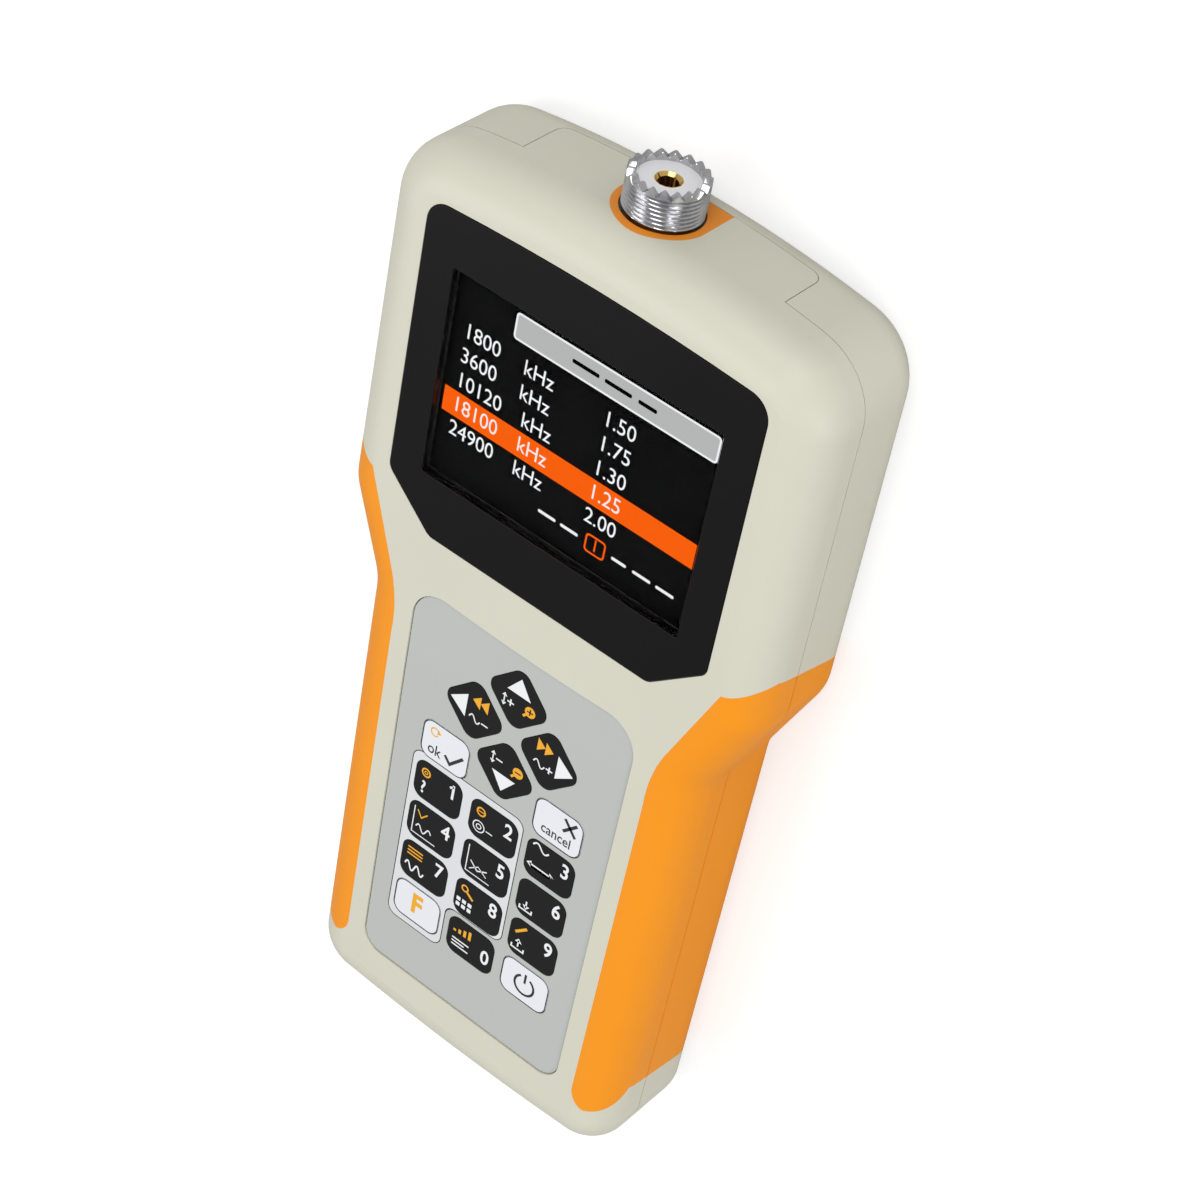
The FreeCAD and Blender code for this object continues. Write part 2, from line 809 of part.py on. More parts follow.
def display():
    keep("display_window", window_plate())
    half_x = s.display_width / 2
    half_y = s.display_height / 2
    low = display_y - half_y
    high = display_y + half_y
    inside = s.frame_sheet + s.panel_gap
    lip = display_top - s.frame_lip
    outer = block("frame_outer", (-half_x, half_x), (low, high), (display_back, display_top))
    sheet_in = s.frame_sheet
    hollow = block(
        "frame_hollow", (sheet_in - half_x, half_x - sheet_in), (low + sheet_in, high - sheet_in),
        (display_back - s.wall, lip),
    )
    view_y = (display_y - s.view_height / 2, display_y + s.view_height / 2)
    view = middle_block("frame_view", s.view_width, view_y, (display_back, display_top + s.wall))
    keep("display_frame", cut("frame_shell", outer, join("frame_holes", [hollow, view])))
    corner_x = half_x - inside
    corners = [(corner_x, low + inside), (corner_x, high - inside)]
    panel = plate("panel", mirrored(corners), display_back, lip - display_back)
    keep("display_panel", panel)
    margin = s.pad_margin
    cushion = block(
        "cushion", (margin - half_x, half_x - margin), (low + margin, high - margin), (board_front, display_back)
    )
    edge = margin + s.pad_width
    gap = block(
        "cushion_gap", (edge - half_x, half_x - edge), (low + edge, high - edge), (board_rear, display_top)
    )
    keep("display_cushion", cut("cushion_ring", cushion, gap))
    ribbon_z = display_back + s.frame_sheet
    fold = low - s.ribbon_reach
    flat = middle_block("ribbon_flat", s.ribbon_width, (fold, low), (ribbon_z, ribbon_z + s.ribbon_thick))
    drop = middle_block(
        "ribbon_drop", s.ribbon_width, (fold, fold + s.ribbon_thick), (board_front, ribbon_z + s.ribbon_thick)
    )
    keep("display_ribbon", join("ribbon", [flat, drop]))
    keep("display_header", header_body("ribbon_header", s.ribbon_width, fold - s.header_length))


def header_body(name, width, low):
    """A low connector on the front of the main board."""
    half = (width + s.header_margin) / 2
    return plate(name, mirrored([(half, low), (half, low + s.header_length)]), board_front, s.header_height)


def window_plate():
    body = window_body("window", ZERO, window_seat, s.window_thick)
    round_off(body, "window_edge", s.window_bevel, level_at(window_seat + s.window_thick), "Chamfer")
    return body


# the keypad

def key_places():
    """Each key's node name, place and whether it is one of the turned arrow keys."""
    for row, names in enumerate(KEYPAD):
        for column, name in enumerate(names):
            if name:
                y = key_row_y - s.key_row_pitch * (row - 1)
                yield name, s.key_pitch * (column - 1), y, False
    for name, (across, along) in ARROWS.items():
        yield name, s.arrow_reach * across, arrow_y + s.arrow_reach * along, True


def key_half(turned, gap):
    """Half the width and height of a key, let out by gap."""
    return (
        (s.arrow_side if turned else s.key_width) / 2 + gap,
        (s.arrow_side if turned else s.key_height) / 2 + gap,
    )


def key_prism(name, turned, gap, thick):
    half_x, half_y = key_half(turned, gap)
    body = plate(name, mirrored([(half_x, -half_y), (half_x, half_y)]), ZERO, thick)
    corner = s.arrow_corner if turned else s.key_corner
    round_off(body, f"{name}_corners", corner + gap, upright)
    return body


def keypad():
    turn = Rotation(Vector(0, 0, 1), 45)
    key_level = overlay_top + s.key_proud - s.key_thick
    pad_top = circuit_top + s.pad_thick
    holes = []
    rooms = []
    pads = []
    for name, x, y, turned in key_places():
        rotation = turn if turned else Rotation()
        key = key_prism(f"{name}_cap", turned, ZERO, s.key_thick)
        keep(name, key, x, y, key_level, rotation)
        hole = key_prism(f"{name}_hole", turned, s.key_gap, s.overlay_thick)
        holes.append(place(hole, x, y, spacer_top, rotation))
        half_x, half_y = key_half(turned, s.room_margin)
        room = block(f"{name}_room", (-half_x, half_x), (-half_y, half_y), (ZERO, s.spacer_thick))
        turned_room = group(f"{name}_turned_room", [room])
        rooms.append(place(turned_room, x, y, circuit_top, rotation))
        half = s.pad_side / 2
        pads.append(block(f"{name}_pad", (x - half, x + half), (y - half, y + half), (circuit_top, pad_top)))
    overlay = label_body("overlay_sheet", ZERO, spacer_top, s.overlay_thick)
    keep("keypad_overlay", cut("overlay", overlay, group("key_holes", holes)))
    spacer = label_body("spacer_sheet", ZERO, circuit_top, s.spacer_thick)
    keep("keypad_spacer", cut("spacer", spacer, group("key_rooms", rooms)))
    keep("keypad_contacts", group("contact_pads", pads))
    header_top = board_front + s.header_height
    tail = middle_block(
        "circuit_tail", s.tail_width, (tail_y, tail_y + s.circuit_thick), (header_top, circuit_top)
    )
    circuit = label_body("circuit_sheet", ZERO, label_floor, s.circuit_thick)
    keep("keypad_circuit", join("circuit", [circuit, tail]))
    keep("keypad_header", header_body("tail_header", s.tail_width, tail_y - s.header_length / 2))


# the coaxial socket, drawn standing on its flange and laid along Y

def along_y(node, obj, distance):
    """Lays a piece drawn along Z on the socket's axis, its origin at a distance up the case."""
    return keep(node, obj, ZERO, distance, s.socket_height, Rotation(Vector(1, 0, 0), -90))


def flange_edge(edge):
    return upright(edge) and abs(edge.CenterOfMass.x) > s.flange_pitch.value / 2


def socket_body(length):
    bore = s.thread_radius - s.rim_wall
    body = body_named("socket")
    sketch = sketch_in(body, "socket_profile", "XZ_Plane")
    chamfer = s.rim_chamfer
    relief = s.thread_radius - s.relief_depth
    shoulder = length - s.socket_stand + s.relief_gap
    profile = [
        (s.tail_bore, -s.boss_length),
        (s.boss_radius, -s.boss_length),
        (s.boss_radius, ZERO),
        (relief, ZERO),
        (relief, shoulder),
        (s.thread_radius, shoulder),
        (s.thread_radius, length - chamfer),
        (s.thread_radius - chamfer, length),
        (bore, length),
        (bore, s.flange_thick),
        (s.tail_bore, s.flange_thick),
    ]
    outline(sketch, profile)
    turned = body.newObject("PartDesign::Revolution", "socket_turned")
    turned.Profile = sketch
    turned.ReferenceAxis = (sketch, ["V_Axis"])
    turned.Angle = 360
    flange = sketch_in(body, "flange_outline")
    half = s.flange_side / 2
    outline(flange, mirrored([(half, -half), (half, half)]))
    circle_in(flange, ZERO, ZERO, s.thread_radius - s.rim_wall / 2)
    pad(body, flange, s.flange_thick)
    round_off(body, "flange_corners", s.flange_corner, flange_edge)
    holes = sketch_in(body, "flange_holes", level=s.flange_thick)
    reach = s.flange_pitch / 2
    for x in (-reach, reach):
        for y in (-reach, reach):
            circle_in(holes, x, y, s.screw_radius)
    drilled = body.newObject("PartDesign::Pocket", "flange_drilled")
    drilled.Profile = holes
    bind(drilled, Length=s.flange_thick)
    notch = sketch_in(body, "tooth_gap", "YZ_Plane")
    spread = s.thread_radius * math.pi / s.rim_teeth.value * s.tooth_share
    outline(notch, [(-spread, length), (ZERO, length - s.tooth_depth), (spread, length)])
    groove = body.newObject("PartDesign::Pocket", "tooth_cut")
    groove.Profile = notch
    groove.Reversed = True
    bind(groove, Length=s.thread_radius + s.rim_wall)
    doc.recompute()
    pattern = body.newObject("PartDesign::PolarPattern", "rim_teeth")
    pattern.Originals = [groove]
    pattern.Axis = (next(a for a in body.Origin.OriginFeatures if a.Role == "Z_Axis"), [""])
    pattern.Angle = 360
    bind(pattern, Occurrences=s.rim_teeth)
    body.Tip = pattern
    return body


def socket_contact(length):
    """The gilt centre contact: a countersunk, slotted sleeve on a stem, with a lead to the board."""
    face = length - s.rim_depth
    body = body_named("contact")
    sketch = sketch_in(body, "contact_profile", "XZ_Plane")
    bottom = face - s.contact_depth
    profile = [
        (ZERO, s.flange_thick),
        (s.contact_radius, s.flange_thick),
        (s.contact_radius, face),
        (s.contact_bore + s.contact_flare, face),
        (s.contact_bore, face - s.contact_flare),
        (s.contact_bore, bottom),
        (ZERO, bottom),
    ]
    outline(sketch, profile)
    turned = body.newObject("PartDesign::Revolution", "contact_turned")
    turned.Profile = sketch
    turned.ReferenceAxis = (sketch, ["V_Axis"])
    turned.Angle = 360
    stem_end = -(s.boss_length + s.stem_length)
    stem = rod("contact_stem", s.stem_radius, s.flange_thick - stem_end, ZERO, ZERO, stem_end)
    rise = board_rear - s.socket_height
    lead = rod("contact_lead", s.lead_radius, rise, ZERO, -rise, stem_end + s.stem_radius, "Y")
    wide = s.contact_radius * 2 + s.contact_slot
    slot_z = (bottom + s.contact_flare, length)
    slots = [
        block("slot_x", (-wide / 2, wide / 2), (-s.contact_slot / 2, s.contact_slot / 2), slot_z),
        block("slot_y", (-s.contact_slot / 2, s.contact_slot / 2), (-wide / 2, wide / 2), slot_z),
    ]
    return cut("contact_slotted", join("contact_whole", [body, stem, lead]), join("contact_slots", slots))


def socket_insulator(length):
    face = length - s.rim_depth
    bore = s.thread_radius - s.rim_wall
    disc = rod("insulator_disc", bore, face - s.flange_thick, ZERO, ZERO, s.flange_thick)
    tail = rod("insulator_tail", s.tail_bore, s.boss_length + s.flange_thick, ZERO, ZERO, -s.boss_length)
    sleeve = rod("sleeve_bore", s.contact_radius, face, ZERO, ZERO, s.flange_thick)
    stem = rod("stem_bore", s.stem_radius, s.boss_length + s.flange_thick, ZERO, ZERO, -s.boss_length)
    return cut("insulator", join("insulator_whole", [disc, tail]), join("insulator_bores", [sleeve, stem]))


def socket_bracket():
    """The plate behind the flange, with a foot under the main board's end."""
    half = s.flange_side / 2
    face = seat_y - s.flange_thick
    low = s.socket_height - half
    plate_y = (face - s.bracket_thick, face)
    back = block("bracket_plate", (-half, half), plate_y, (low, s.socket_height + half))
    foot_y = (face - s.bracket_thick - s.bracket_foot, face)
    foot_z = (board_rear - s.bracket_thick, board_rear)
    foot = middle_block("bracket_foot_bar", s.bracket_foot_width, foot_y, foot_z)
    boss_room = s.boss_radius + s.screw_gap
    holes = [rod("boss_hole", boss_room, s.bracket_thick, ZERO, plate_y[0], s.socket_height, "Y")]
    for i, (x, z) in enumerate(flange_screw_places()):
        holes.append(rod(f"bracket_hole_{i}", s.screw_radius, s.bracket_thick, x, plate_y[0], z, "Y"))
    keep("socket_bracket", cut("bracket", join("bracket_blank", [back, foot]), join("bracket_holes", holes)))
    screws = []
    for i, (x, z) in enumerate(flange_screw_places()):
        head_y = plate_y[0] - s.screw_head_depth
        head = rod(f"flange_head_{i}", s.screw_head, s.screw_head_depth, x, head_y, z, "Y")
        reach = s.bracket_thick + s.flange_thick
        shank = rod(f"flange_shank_{i}", s.screw_radius, reach, x, plate_y[0], z, "Y")
        screws.append(join(f"flange_screw_{i}", [head, shank]))
    keep("flange_screws", group("flange_screw_set", screws))


def flange_screw_places():
    reach = s.flange_pitch / 2
    return [(x, s.socket_height + z) for x in (-reach, reach) for z in (-reach, reach)]


def coaxial_socket():
    foot = seat_y - s.flange_thick
    length = overall - foot
    along_y("socket_body", socket_body(length), foot)
    along_y("socket_insulator", socket_insulator(length), foot)
    along_y("socket_contact", socket_contact(length), foot)
    socket_bracket()


# boards and what they carry

def main_board():
    half = [
        (s.board_tongue_width / 2, s.board_tongue),
        (s.board_tongue_width / 2, s.board_heel),
        (half_handle - s.board_margin, s.board_heel),
        (half_handle - s.board_margin, flare_low - s.board_waist_drop),
        (half_head - s.board_margin, flare_top + s.board_shoulder_lift),
        (half_head - s.board_margin, case_length - s.board_neck_drop),
        (s.board_neck_width / 2, case_length - s.board_neck_drop),
        (s.board_neck_width / 2, case_length - s.board_top_gap),
    ]
    sheet_body = plate("board", mirrored(half), board_rear, s.board_thick)
    holes = []
    screws = []
    for i, (x, y) in enumerate(board_screw_places()):
        holes.append(rod(f"board_hole_{i}", s.small_screw, s.board_thick, x, y, board_rear))
        head = rod(f"board_head_{i}", s.small_head, s.small_head_depth, x, y, board_rear - s.small_head_depth)
        shank = rod(f"board_shank_{i}", s.small_screw, s.small_length, x, y, board_rear)
        screws.append(join(f"board_screw_{i}", [head, shank]))
    keep("main_board", cut("drilled_board", sheet_body, group("board_holes", holes)))
    keep("board_screws", group("board_screw_set", screws))
    can_top = case_length - s.can_top_gap
    can_y = (can_top - s.can_length, can_top)
    can_z = (board_rear - s.can_height, board_rear)
    can = middle_block("can_outer", s.can_width, can_y, can_z)
    sheet_in = s.can_sheet
    inner_y = (can_y[0] + sheet_in, can_y[1] - sheet_in)
    inner_z = (can_z[0] + sheet_in, can_z[1] + sheet_in)
    room = middle_block("can_room", s.can_width - sheet_in * 2, inner_y, inner_z)
    keep("shield_can", cut("can", can, room))
    level = board_rear - s.sounder_height
    sounder_y = label_high - s.sounder_drop
    case_rod = rod("sounder_case", s.sounder_radius, s.sounder_height, ZERO, sounder_y, level)
    hole = rod("sounder_port", s.sounder_hole, s.sounder_height / 2, ZERO, sounder_y, level)
    keep("sounder", cut("sounder_drilled", case_rod, hole))


def data_socket():
    low = board_rear - s.data_height
    y_range = (s.data_set_back, s.data_set_back + s.data_length)
    outer = middle_block("data_outer", s.data_width, y_range, (low, board_rear))
    inner_y = (y_range[0] - s.wall, y_range[1] - s.data_wall)
    inner_z = (low + s.data_wall, board_rear - s.data_wall)
    inner_width = s.data_width - s.data_wall * 2
    room = middle_block("data_room", inner_width, inner_y, inner_z)
    keep("data_socket", cut("data_shell", outer, room))
    filling = middle_block("data_filling", inner_width, (y_range[0] + s.data_wall, inner_y[1]), inner_z)
    middle = board_rear - s.data_height / 2
    half = s.data_plug_height / 2
    plug_y = (y_range[0], inner_y[1] - s.data_block)
    plug_room = middle_block("plug_room", s.data_plug_width, plug_y, (middle - half, middle + half))
    tongue_z = (middle - s.data_tongue_height / 2, middle + s.data_tongue_height / 2)
    tongue_y = (y_range[0] + s.data_tongue_back, inner_y[1])
    tongue = middle_block("data_tongue", s.data_tongue_width, tongue_y, tongue_z)
    keep("data_insert", join("data_plastic", [cut("data_body", filling, plug_room), tongue]))


# cells, battery cover and case screws

def cells():
    plates = []
    springs = []
    plate_z = (cell_height - s.plate_side / 2, cell_height + s.plate_side / 2)
    near = s.bay_bottom + s.contact_plate
    far = bay_top - s.contact_plate
    for i, turned in enumerate((False, True, False)):
        x = cell_pitch * (i - 1)
        body_y = near + (s.nub_length if turned else s.spring_length)
        nub_y = near if turned else body_y + s.cell_length
        spring_y = body_y + s.cell_length if turned else near
        barrel = rod(f"cell_barrel_{i}", s.cell_radius, s.cell_length, x, body_y, cell_height, "Y")
        nub = rod(f"cell_nub_{i}", s.nub_radius, s.nub_length, x, nub_y, cell_height, "Y")
        keep(f"cell_{i + 1}", join(f"cell_whole_{i}", [barrel, nub]))
        springs.append(rod(f"spring_{i}", s.spring_radius, s.spring_length, x, spring_y, cell_height, "Y"))
        for end, y in (("near", s.bay_bottom), ("far", far)):
            x_range = (x - s.plate_side / 2, x + s.plate_side / 2)
            plates.append(block(f"plate_{end}_{i}", x_range, (y, y + s.contact_plate), plate_z))
    keep("battery_springs", group("spring_set", springs))
    keep("battery_plates", group("plate_set", plates))


def battery_cover():
    sheet_body = cover_plate("cover", ZERO, s.cover_set_in, s.cover_thick)
    parts = [sheet_body]
    for side in (-1, 1):
        for i, y in enumerate((s.bay_bottom + s.arm_inset, bay_top - s.arm_inset)):
            outer = (bay_width / 2 - s.cover_gap) * side
            inner = outer - s.arm_thick * side
            x_range = (inner, outer) if side > 0 else (outer, inner)
            y_range = (y - s.arm_width / 2, y + s.arm_width / 2)
            z_range = (cover_face - s.cover_thick / 2, cover_face + s.arm_height)
            parts.append(block(f"arm_{'right' if side > 0 else 'left'}_{i}", x_range, y_range, z_range))
    thumb = rod("thumb_dip", s.thumb_radius, s.thumb_depth, ZERO, bay_top - s.thumb_inset, s.cover_set_in)
    keep("battery_cover", cut("cover_dipped", join("cover_whole", parts), thumb))


def case_screws():
    screws = []
    for i, (x, y) in enumerate(case_screw_places()):
        head = rod(f"case_head_{i}", s.screw_head, s.screw_head_depth, x, y, s.screw_sunk)
        shank = rod(f"case_shank_{i}", s.screw_radius, s.screw_length, x, y, s.screw_sunk)
        screws.append(join(f"case_screw_{i}", [head, shank]))
    keep("case_screws", group("case_screw_set", screws))


def check_and_write():
    doc.recompute()
    for obj in doc.Objects:
        if {"Invalid", "Error"} & set(obj.State):
            raise RuntimeError(f"{obj.Name} failed: {obj.State}")
    os.makedirs("parts", exist_ok=True)
    for node, obj in nodes.items():
        shape = obj.Shape
        if shape.isNull() or not shape.isValid():
            raise RuntimeError(f"{node} has no valid shape")
        shape.exportStep(f"parts/{node}.step")
        print(f"{node}: {len(shape.Solids)} solid(s), {shape.Volume:.1f} mm3")


case()
display()
keypad()
coaxial_socket()
main_board()
data_socket()
cells()
battery_cover()
case_screws()
check_and_write()
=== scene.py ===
import json
import math

import bmesh
import bpy
from mathutils import Matrix, Vector


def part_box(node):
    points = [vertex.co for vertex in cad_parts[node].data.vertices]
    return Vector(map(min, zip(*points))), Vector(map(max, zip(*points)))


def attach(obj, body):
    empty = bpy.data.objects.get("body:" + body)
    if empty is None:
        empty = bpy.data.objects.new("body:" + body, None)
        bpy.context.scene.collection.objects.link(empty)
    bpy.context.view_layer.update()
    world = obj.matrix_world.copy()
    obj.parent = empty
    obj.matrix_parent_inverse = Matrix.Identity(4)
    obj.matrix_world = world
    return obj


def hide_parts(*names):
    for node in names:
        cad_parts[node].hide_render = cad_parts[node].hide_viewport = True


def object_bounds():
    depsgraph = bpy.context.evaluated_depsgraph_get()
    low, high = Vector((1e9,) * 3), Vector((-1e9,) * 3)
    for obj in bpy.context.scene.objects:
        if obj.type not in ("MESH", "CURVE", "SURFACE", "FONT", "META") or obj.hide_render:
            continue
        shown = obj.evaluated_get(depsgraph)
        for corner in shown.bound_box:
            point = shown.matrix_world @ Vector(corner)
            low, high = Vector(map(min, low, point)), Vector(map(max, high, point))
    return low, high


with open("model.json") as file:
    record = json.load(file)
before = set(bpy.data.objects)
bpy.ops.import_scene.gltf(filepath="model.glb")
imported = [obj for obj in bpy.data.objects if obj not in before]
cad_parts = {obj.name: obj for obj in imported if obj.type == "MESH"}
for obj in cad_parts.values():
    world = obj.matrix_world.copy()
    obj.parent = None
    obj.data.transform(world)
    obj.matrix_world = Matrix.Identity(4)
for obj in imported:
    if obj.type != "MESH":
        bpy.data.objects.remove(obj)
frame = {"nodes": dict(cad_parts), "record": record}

mm = 0.001
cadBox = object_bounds()
scene = bpy.context.scene
caseBody = "case"

# node group and material helpers


def nodeIn(tree, kind, **settings):
    node = tree.nodes.new(kind)
    for name, value in settings.items():
        setattr(node, name, value)
    return node


def wire(tree, source, sourceName, target, targetName):
    tree.links.new(source.outputs[sourceName], target.inputs[targetName])


def groupNamed(name, inputs, outputs):
    tree = bpy.data.node_groups.new(name, "ShaderNodeTree")
    for label, kind, default in inputs:
        socket = tree.interface.new_socket(name=label, in_out="INPUT", socket_type=kind)
        socket.default_value = default
    for label, kind in outputs:
        tree.interface.new_socket(name=label, in_out="OUTPUT", socket_type=kind)
    return tree, tree.nodes.new("NodeGroupInput"), tree.nodes.new("NodeGroupOutput")


def mathIn(tree, operation, *values, clamp=False):
    # each value is a number or the socket that gives it
    node = nodeIn(tree, "ShaderNodeMath", operation=operation, use_clamp=clamp)
    for i, item in enumerate(values):
        if isinstance(item, (int, float)):
            node.inputs[i].default_value = item
        else:
            tree.links.new(item, node.inputs[i])
    return node.outputs[0]


def objectPlace(tree):
    return nodeIn(tree, "ShaderNodeTexCoord").outputs["Object"]


def rampIn(tree, value, start, end):
    # 0 up to the start and 1 from the end on
    ramp = nodeIn(tree, "ShaderNodeMapRange")
    ramp.inputs["From Min"].default_value = start
    ramp.inputs["From Max"].default_value = end
    tree.links.new(value, ramp.inputs["Value"])
    return ramp.outputs["Result"]


def bumpIn(tree, shader, look, height):
    bump = nodeIn(tree, "ShaderNodeBump")
    bump.inputs["Strength"].default_value = look["bump"]
    bump.inputs["Distance"].default_value = look["bumpDepth"]
    tree.links.new(height, bump.inputs["Height"])
    wire(tree, bump, "Normal", shader, "Normal")


def noiseIn(tree, vector, scale, detail=2.0, rough=0.5):
    noise = nodeIn(tree, "ShaderNodeTexNoise")
    tree.links.new(vector, noise.inputs["Vector"])
    if isinstance(scale, (int, float)):
        noise.inputs["Scale"].default_value = scale
    else:
        tree.links.new(scale, noise.inputs["Scale"])
    noise.inputs["Detail"].default_value = detail
    noise.inputs["Roughness"].default_value = rough
    return noise.outputs["Fac"]


grainLook = {"pitScale": 2600.0, "waveScale": 160.0, "waveShare": 0.3, "slowScale": 34.0}
handlingLook = {"patchScale": 22.0, "amount": 0.05, "cleanBelow": 0.42, "fullAbove": 0.72}


def buildGrain():
    # the spark-eroded skin of a moulding: fine pits over a soft waviness
    tree, inside, outside = groupNamed(
        "mouldGrain",
        [("Pit Scale", "NodeSocketFloat", grainLook["pitScale"]),
         ("Wave Scale", "NodeSocketFloat", grainLook["waveScale"]),
         ("Wave Share", "NodeSocketFloat", grainLook["waveShare"])],
        [("Height", "NodeSocketFloat"), ("Spread", "NodeSocketFloat")],
    )
    place = objectPlace(tree)
    pits = noiseIn(tree, place, inside.outputs["Pit Scale"], 3.0, 0.6)
    waves = noiseIn(tree, place, inside.outputs["Wave Scale"], 2.0, 0.5)
    share = mathIn(tree, "MULTIPLY", waves, inside.outputs["Wave Share"])
    tree.links.new(mathIn(tree, "ADD", pits, share), outside.inputs["Height"])
    slow = noiseIn(tree, place, grainLook["slowScale"], 4.0, 0.6)
    tree.links.new(mathIn(tree, "SUBTRACT", slow, 0.5), outside.inputs["Spread"])
    return tree


def buildHandling():
    # faint rubbed and dusty patches left by hands
    tree, inside, outside = groupNamed(
        "handling",
        [("Patch Scale", "NodeSocketFloat", handlingLook["patchScale"]),
         ("Amount", "NodeSocketFloat", handlingLook["amount"])],
        [("Mask", "NodeSocketFloat")],
    )
    place = objectPlace(tree)
    patches = noiseIn(tree, place, inside.outputs["Patch Scale"], 5.0, 0.65)
    ramp = rampIn(tree, patches, handlingLook["cleanBelow"], handlingLook["fullAbove"])
    tree.links.new(mathIn(tree, "MULTIPLY", ramp, inside.outputs["Amount"]), outside.inputs["Mask"])
    return tree


grainGroup = buildGrain()
handlingGroup = buildHandling()

# what a finish has unless it says otherwise
plasticBase = {
    "pitScale": grainLook["pitScale"], "waveShare": grainLook["waveShare"], "worn": handlingLook["amount"],
    "wornGain": 1.25, "wornLift": 0.02, "drift": 0.06, "roughDrift": 0.12,
    "bump": 0.25, "bumpDepth": 0.04 * mm, "ior": 1.48, "specular": 0.5, "coat": 0.0, "coatRough": 0.08,
}
metalBase = {
    "stretch": (1, 1, 1), "scratchScale": 900.0, "cloudScale": 260.0, "cloudFrom": 0.45, "cloudTo": 0.75,
    "roughDrift": 0.15, "bump": 0.15, "bumpDepth": 0.02 * mm,
}
glowBase = {"strength": 1.0, "rasterScale": 780.0, "dip": 0.93, "rough": 0.6}


def newMaterial(name):
    material = bpy.data.materials.new(name)
    material.use_nodes = True
    tree = material.node_tree
    return material, tree, tree.nodes["Principled BSDF"]


def plastic(name, changes):
    # a moulded, printed or coated finish: grain in the bump, handling in colour and gloss
    look = {**plasticBase, **changes}
    material, tree, shader = newMaterial(name)
    grain = nodeIn(tree, "ShaderNodeGroup", node_tree=grainGroup)
    grain.inputs["Pit Scale"].default_value = look["pitScale"]
    grain.inputs["Wave Share"].default_value = look["waveShare"]
    worn = nodeIn(tree, "ShaderNodeGroup", node_tree=handlingGroup)
    worn.inputs["Amount"].default_value = look["worn"]
    base = look["color"]
    wornColor = look.get("wornColor", [min(1, c * look["wornGain"] + look["wornLift"]) for c in base])
    lighter = nodeIn(tree, "ShaderNodeMix", data_type="RGBA")
    lighter.inputs["A"].default_value = (*base, 1)
    lighter.inputs["B"].default_value = (*wornColor, 1)
    wire(tree, worn, "Mask", lighter, "Factor")
    bright = nodeIn(tree, "ShaderNodeHueSaturation")
    wire(tree, lighter, "Result", bright, "Color")
    value = mathIn(tree, "MULTIPLY_ADD", grain.outputs["Spread"], look["drift"], 1.0)
    tree.links.new(value, bright.inputs["Value"])
    wire(tree, bright, "Color", shader, "Base Color")
    rough = mathIn(tree, "MULTIPLY_ADD", grain.outputs["Spread"], look["roughDrift"], look["rough"])
    rougher = mathIn(tree, "ADD", rough, worn.outputs["Mask"], clamp=True)
    tree.links.new(rougher, shader.inputs["Roughness"])
    bumpIn(tree, shader, look, grain.outputs["Height"])
    shader.inputs["IOR"].default_value = look["ior"]
    shader.inputs["Specular IOR Level"].default_value = look["specular"]
    shader.inputs["Coat Weight"].default_value = look["coat"]
    shader.inputs["Coat Roughness"].default_value = look["coatRough"]
    return material


def metal(name, changes):
    # plated or bare metal: fine scratches along one way and a cloudy tarnish
    look = {**metalBase, **changes}
    material, tree, shader = newMaterial(name)
    shader.inputs["Metallic"].default_value = 1.0
    place = objectPlace(tree)
    stretch = nodeIn(tree, "ShaderNodeMapping")
    stretch.inputs["Scale"].default_value = look["stretch"]
    tree.links.new(place, stretch.inputs["Vector"])
    scratches = noiseIn(tree, stretch.outputs["Vector"], look["scratchScale"], 4.0, 0.65)
    clouds = noiseIn(tree, place, look["cloudScale"], 4.0, 0.6)
    tint = nodeIn(tree, "ShaderNodeMix", data_type="RGBA")
    tint.inputs["A"].default_value = (*look["color"], 1)
    tint.inputs["B"].default_value = (*look["dark"], 1)
    cloudy = rampIn(tree, clouds, look["cloudFrom"], look["cloudTo"])
    tree.links.new(cloudy, tint.inputs["Factor"])
    wire(tree, tint, "Result", shader, "Base Color")
    rough = mathIn(tree, "MULTIPLY_ADD", scratches, look["roughDrift"], look["rough"])
    tree.links.new(rough, shader.inputs["Roughness"])
    bumpIn(tree, shader, look, scratches)
    return material


def glowing(name, changes):
    # lit picture elements behind the window, with the fine raster of the display
    look = {**glowBase, **changes}
    material, tree, shader = newMaterial(name)
    shader.inputs["Roughness"].default_value = look["rough"]
    shader.inputs["Specular IOR Level"].default_value = 0.0
    shader.inputs["Base Color"].default_value = (0, 0, 0, 1)
    shader.inputs["Emission Strength"].default_value = look["strength"]
    place = objectPlace(tree)
    raster = nodeIn(tree, "ShaderNodeTexWave", bands_direction="X")
    raster.inputs["Scale"].default_value = look["rasterScale"]
    tree.links.new(place, raster.inputs["Vector"])
    dim = nodeIn(tree, "ShaderNodeMapRange")
    dim.inputs["To Min"].default_value = look["dip"]
    wire(tree, raster, "Fac", dim, "Value")
    light = nodeIn(tree, "ShaderNodeMix", data_type="RGBA", blend_type="MULTIPLY")
    light.inputs["Factor"].default_value = 1.0
    light.inputs["A"].default_value = (*look["color"], 1)
    wire(tree, dim, "Result", light, "B")
    wire(tree, light, "Result", shader, "Emission Color")
    return material


def clearSheet(name, look):
    # a clear plate with faint smears in its gloss
    material, tree, shader = newMaterial(name)
    shader.inputs["Base Color"].default_value = (*look["color"], 1)
    shader.inputs["Transmission Weight"].default_value = 1.0
    shader.inputs["IOR"].default_value = look["ior"]
    place = objectPlace(tree)
    smears = noiseIn(tree, place, look["smearScale"], 5.0, 0.6)
    rough = mathIn(tree, "MULTIPLY_ADD", smears, look["smear"], look["rough"])
    tree.links.new(rough, shader.inputs["Roughness"])
    return material


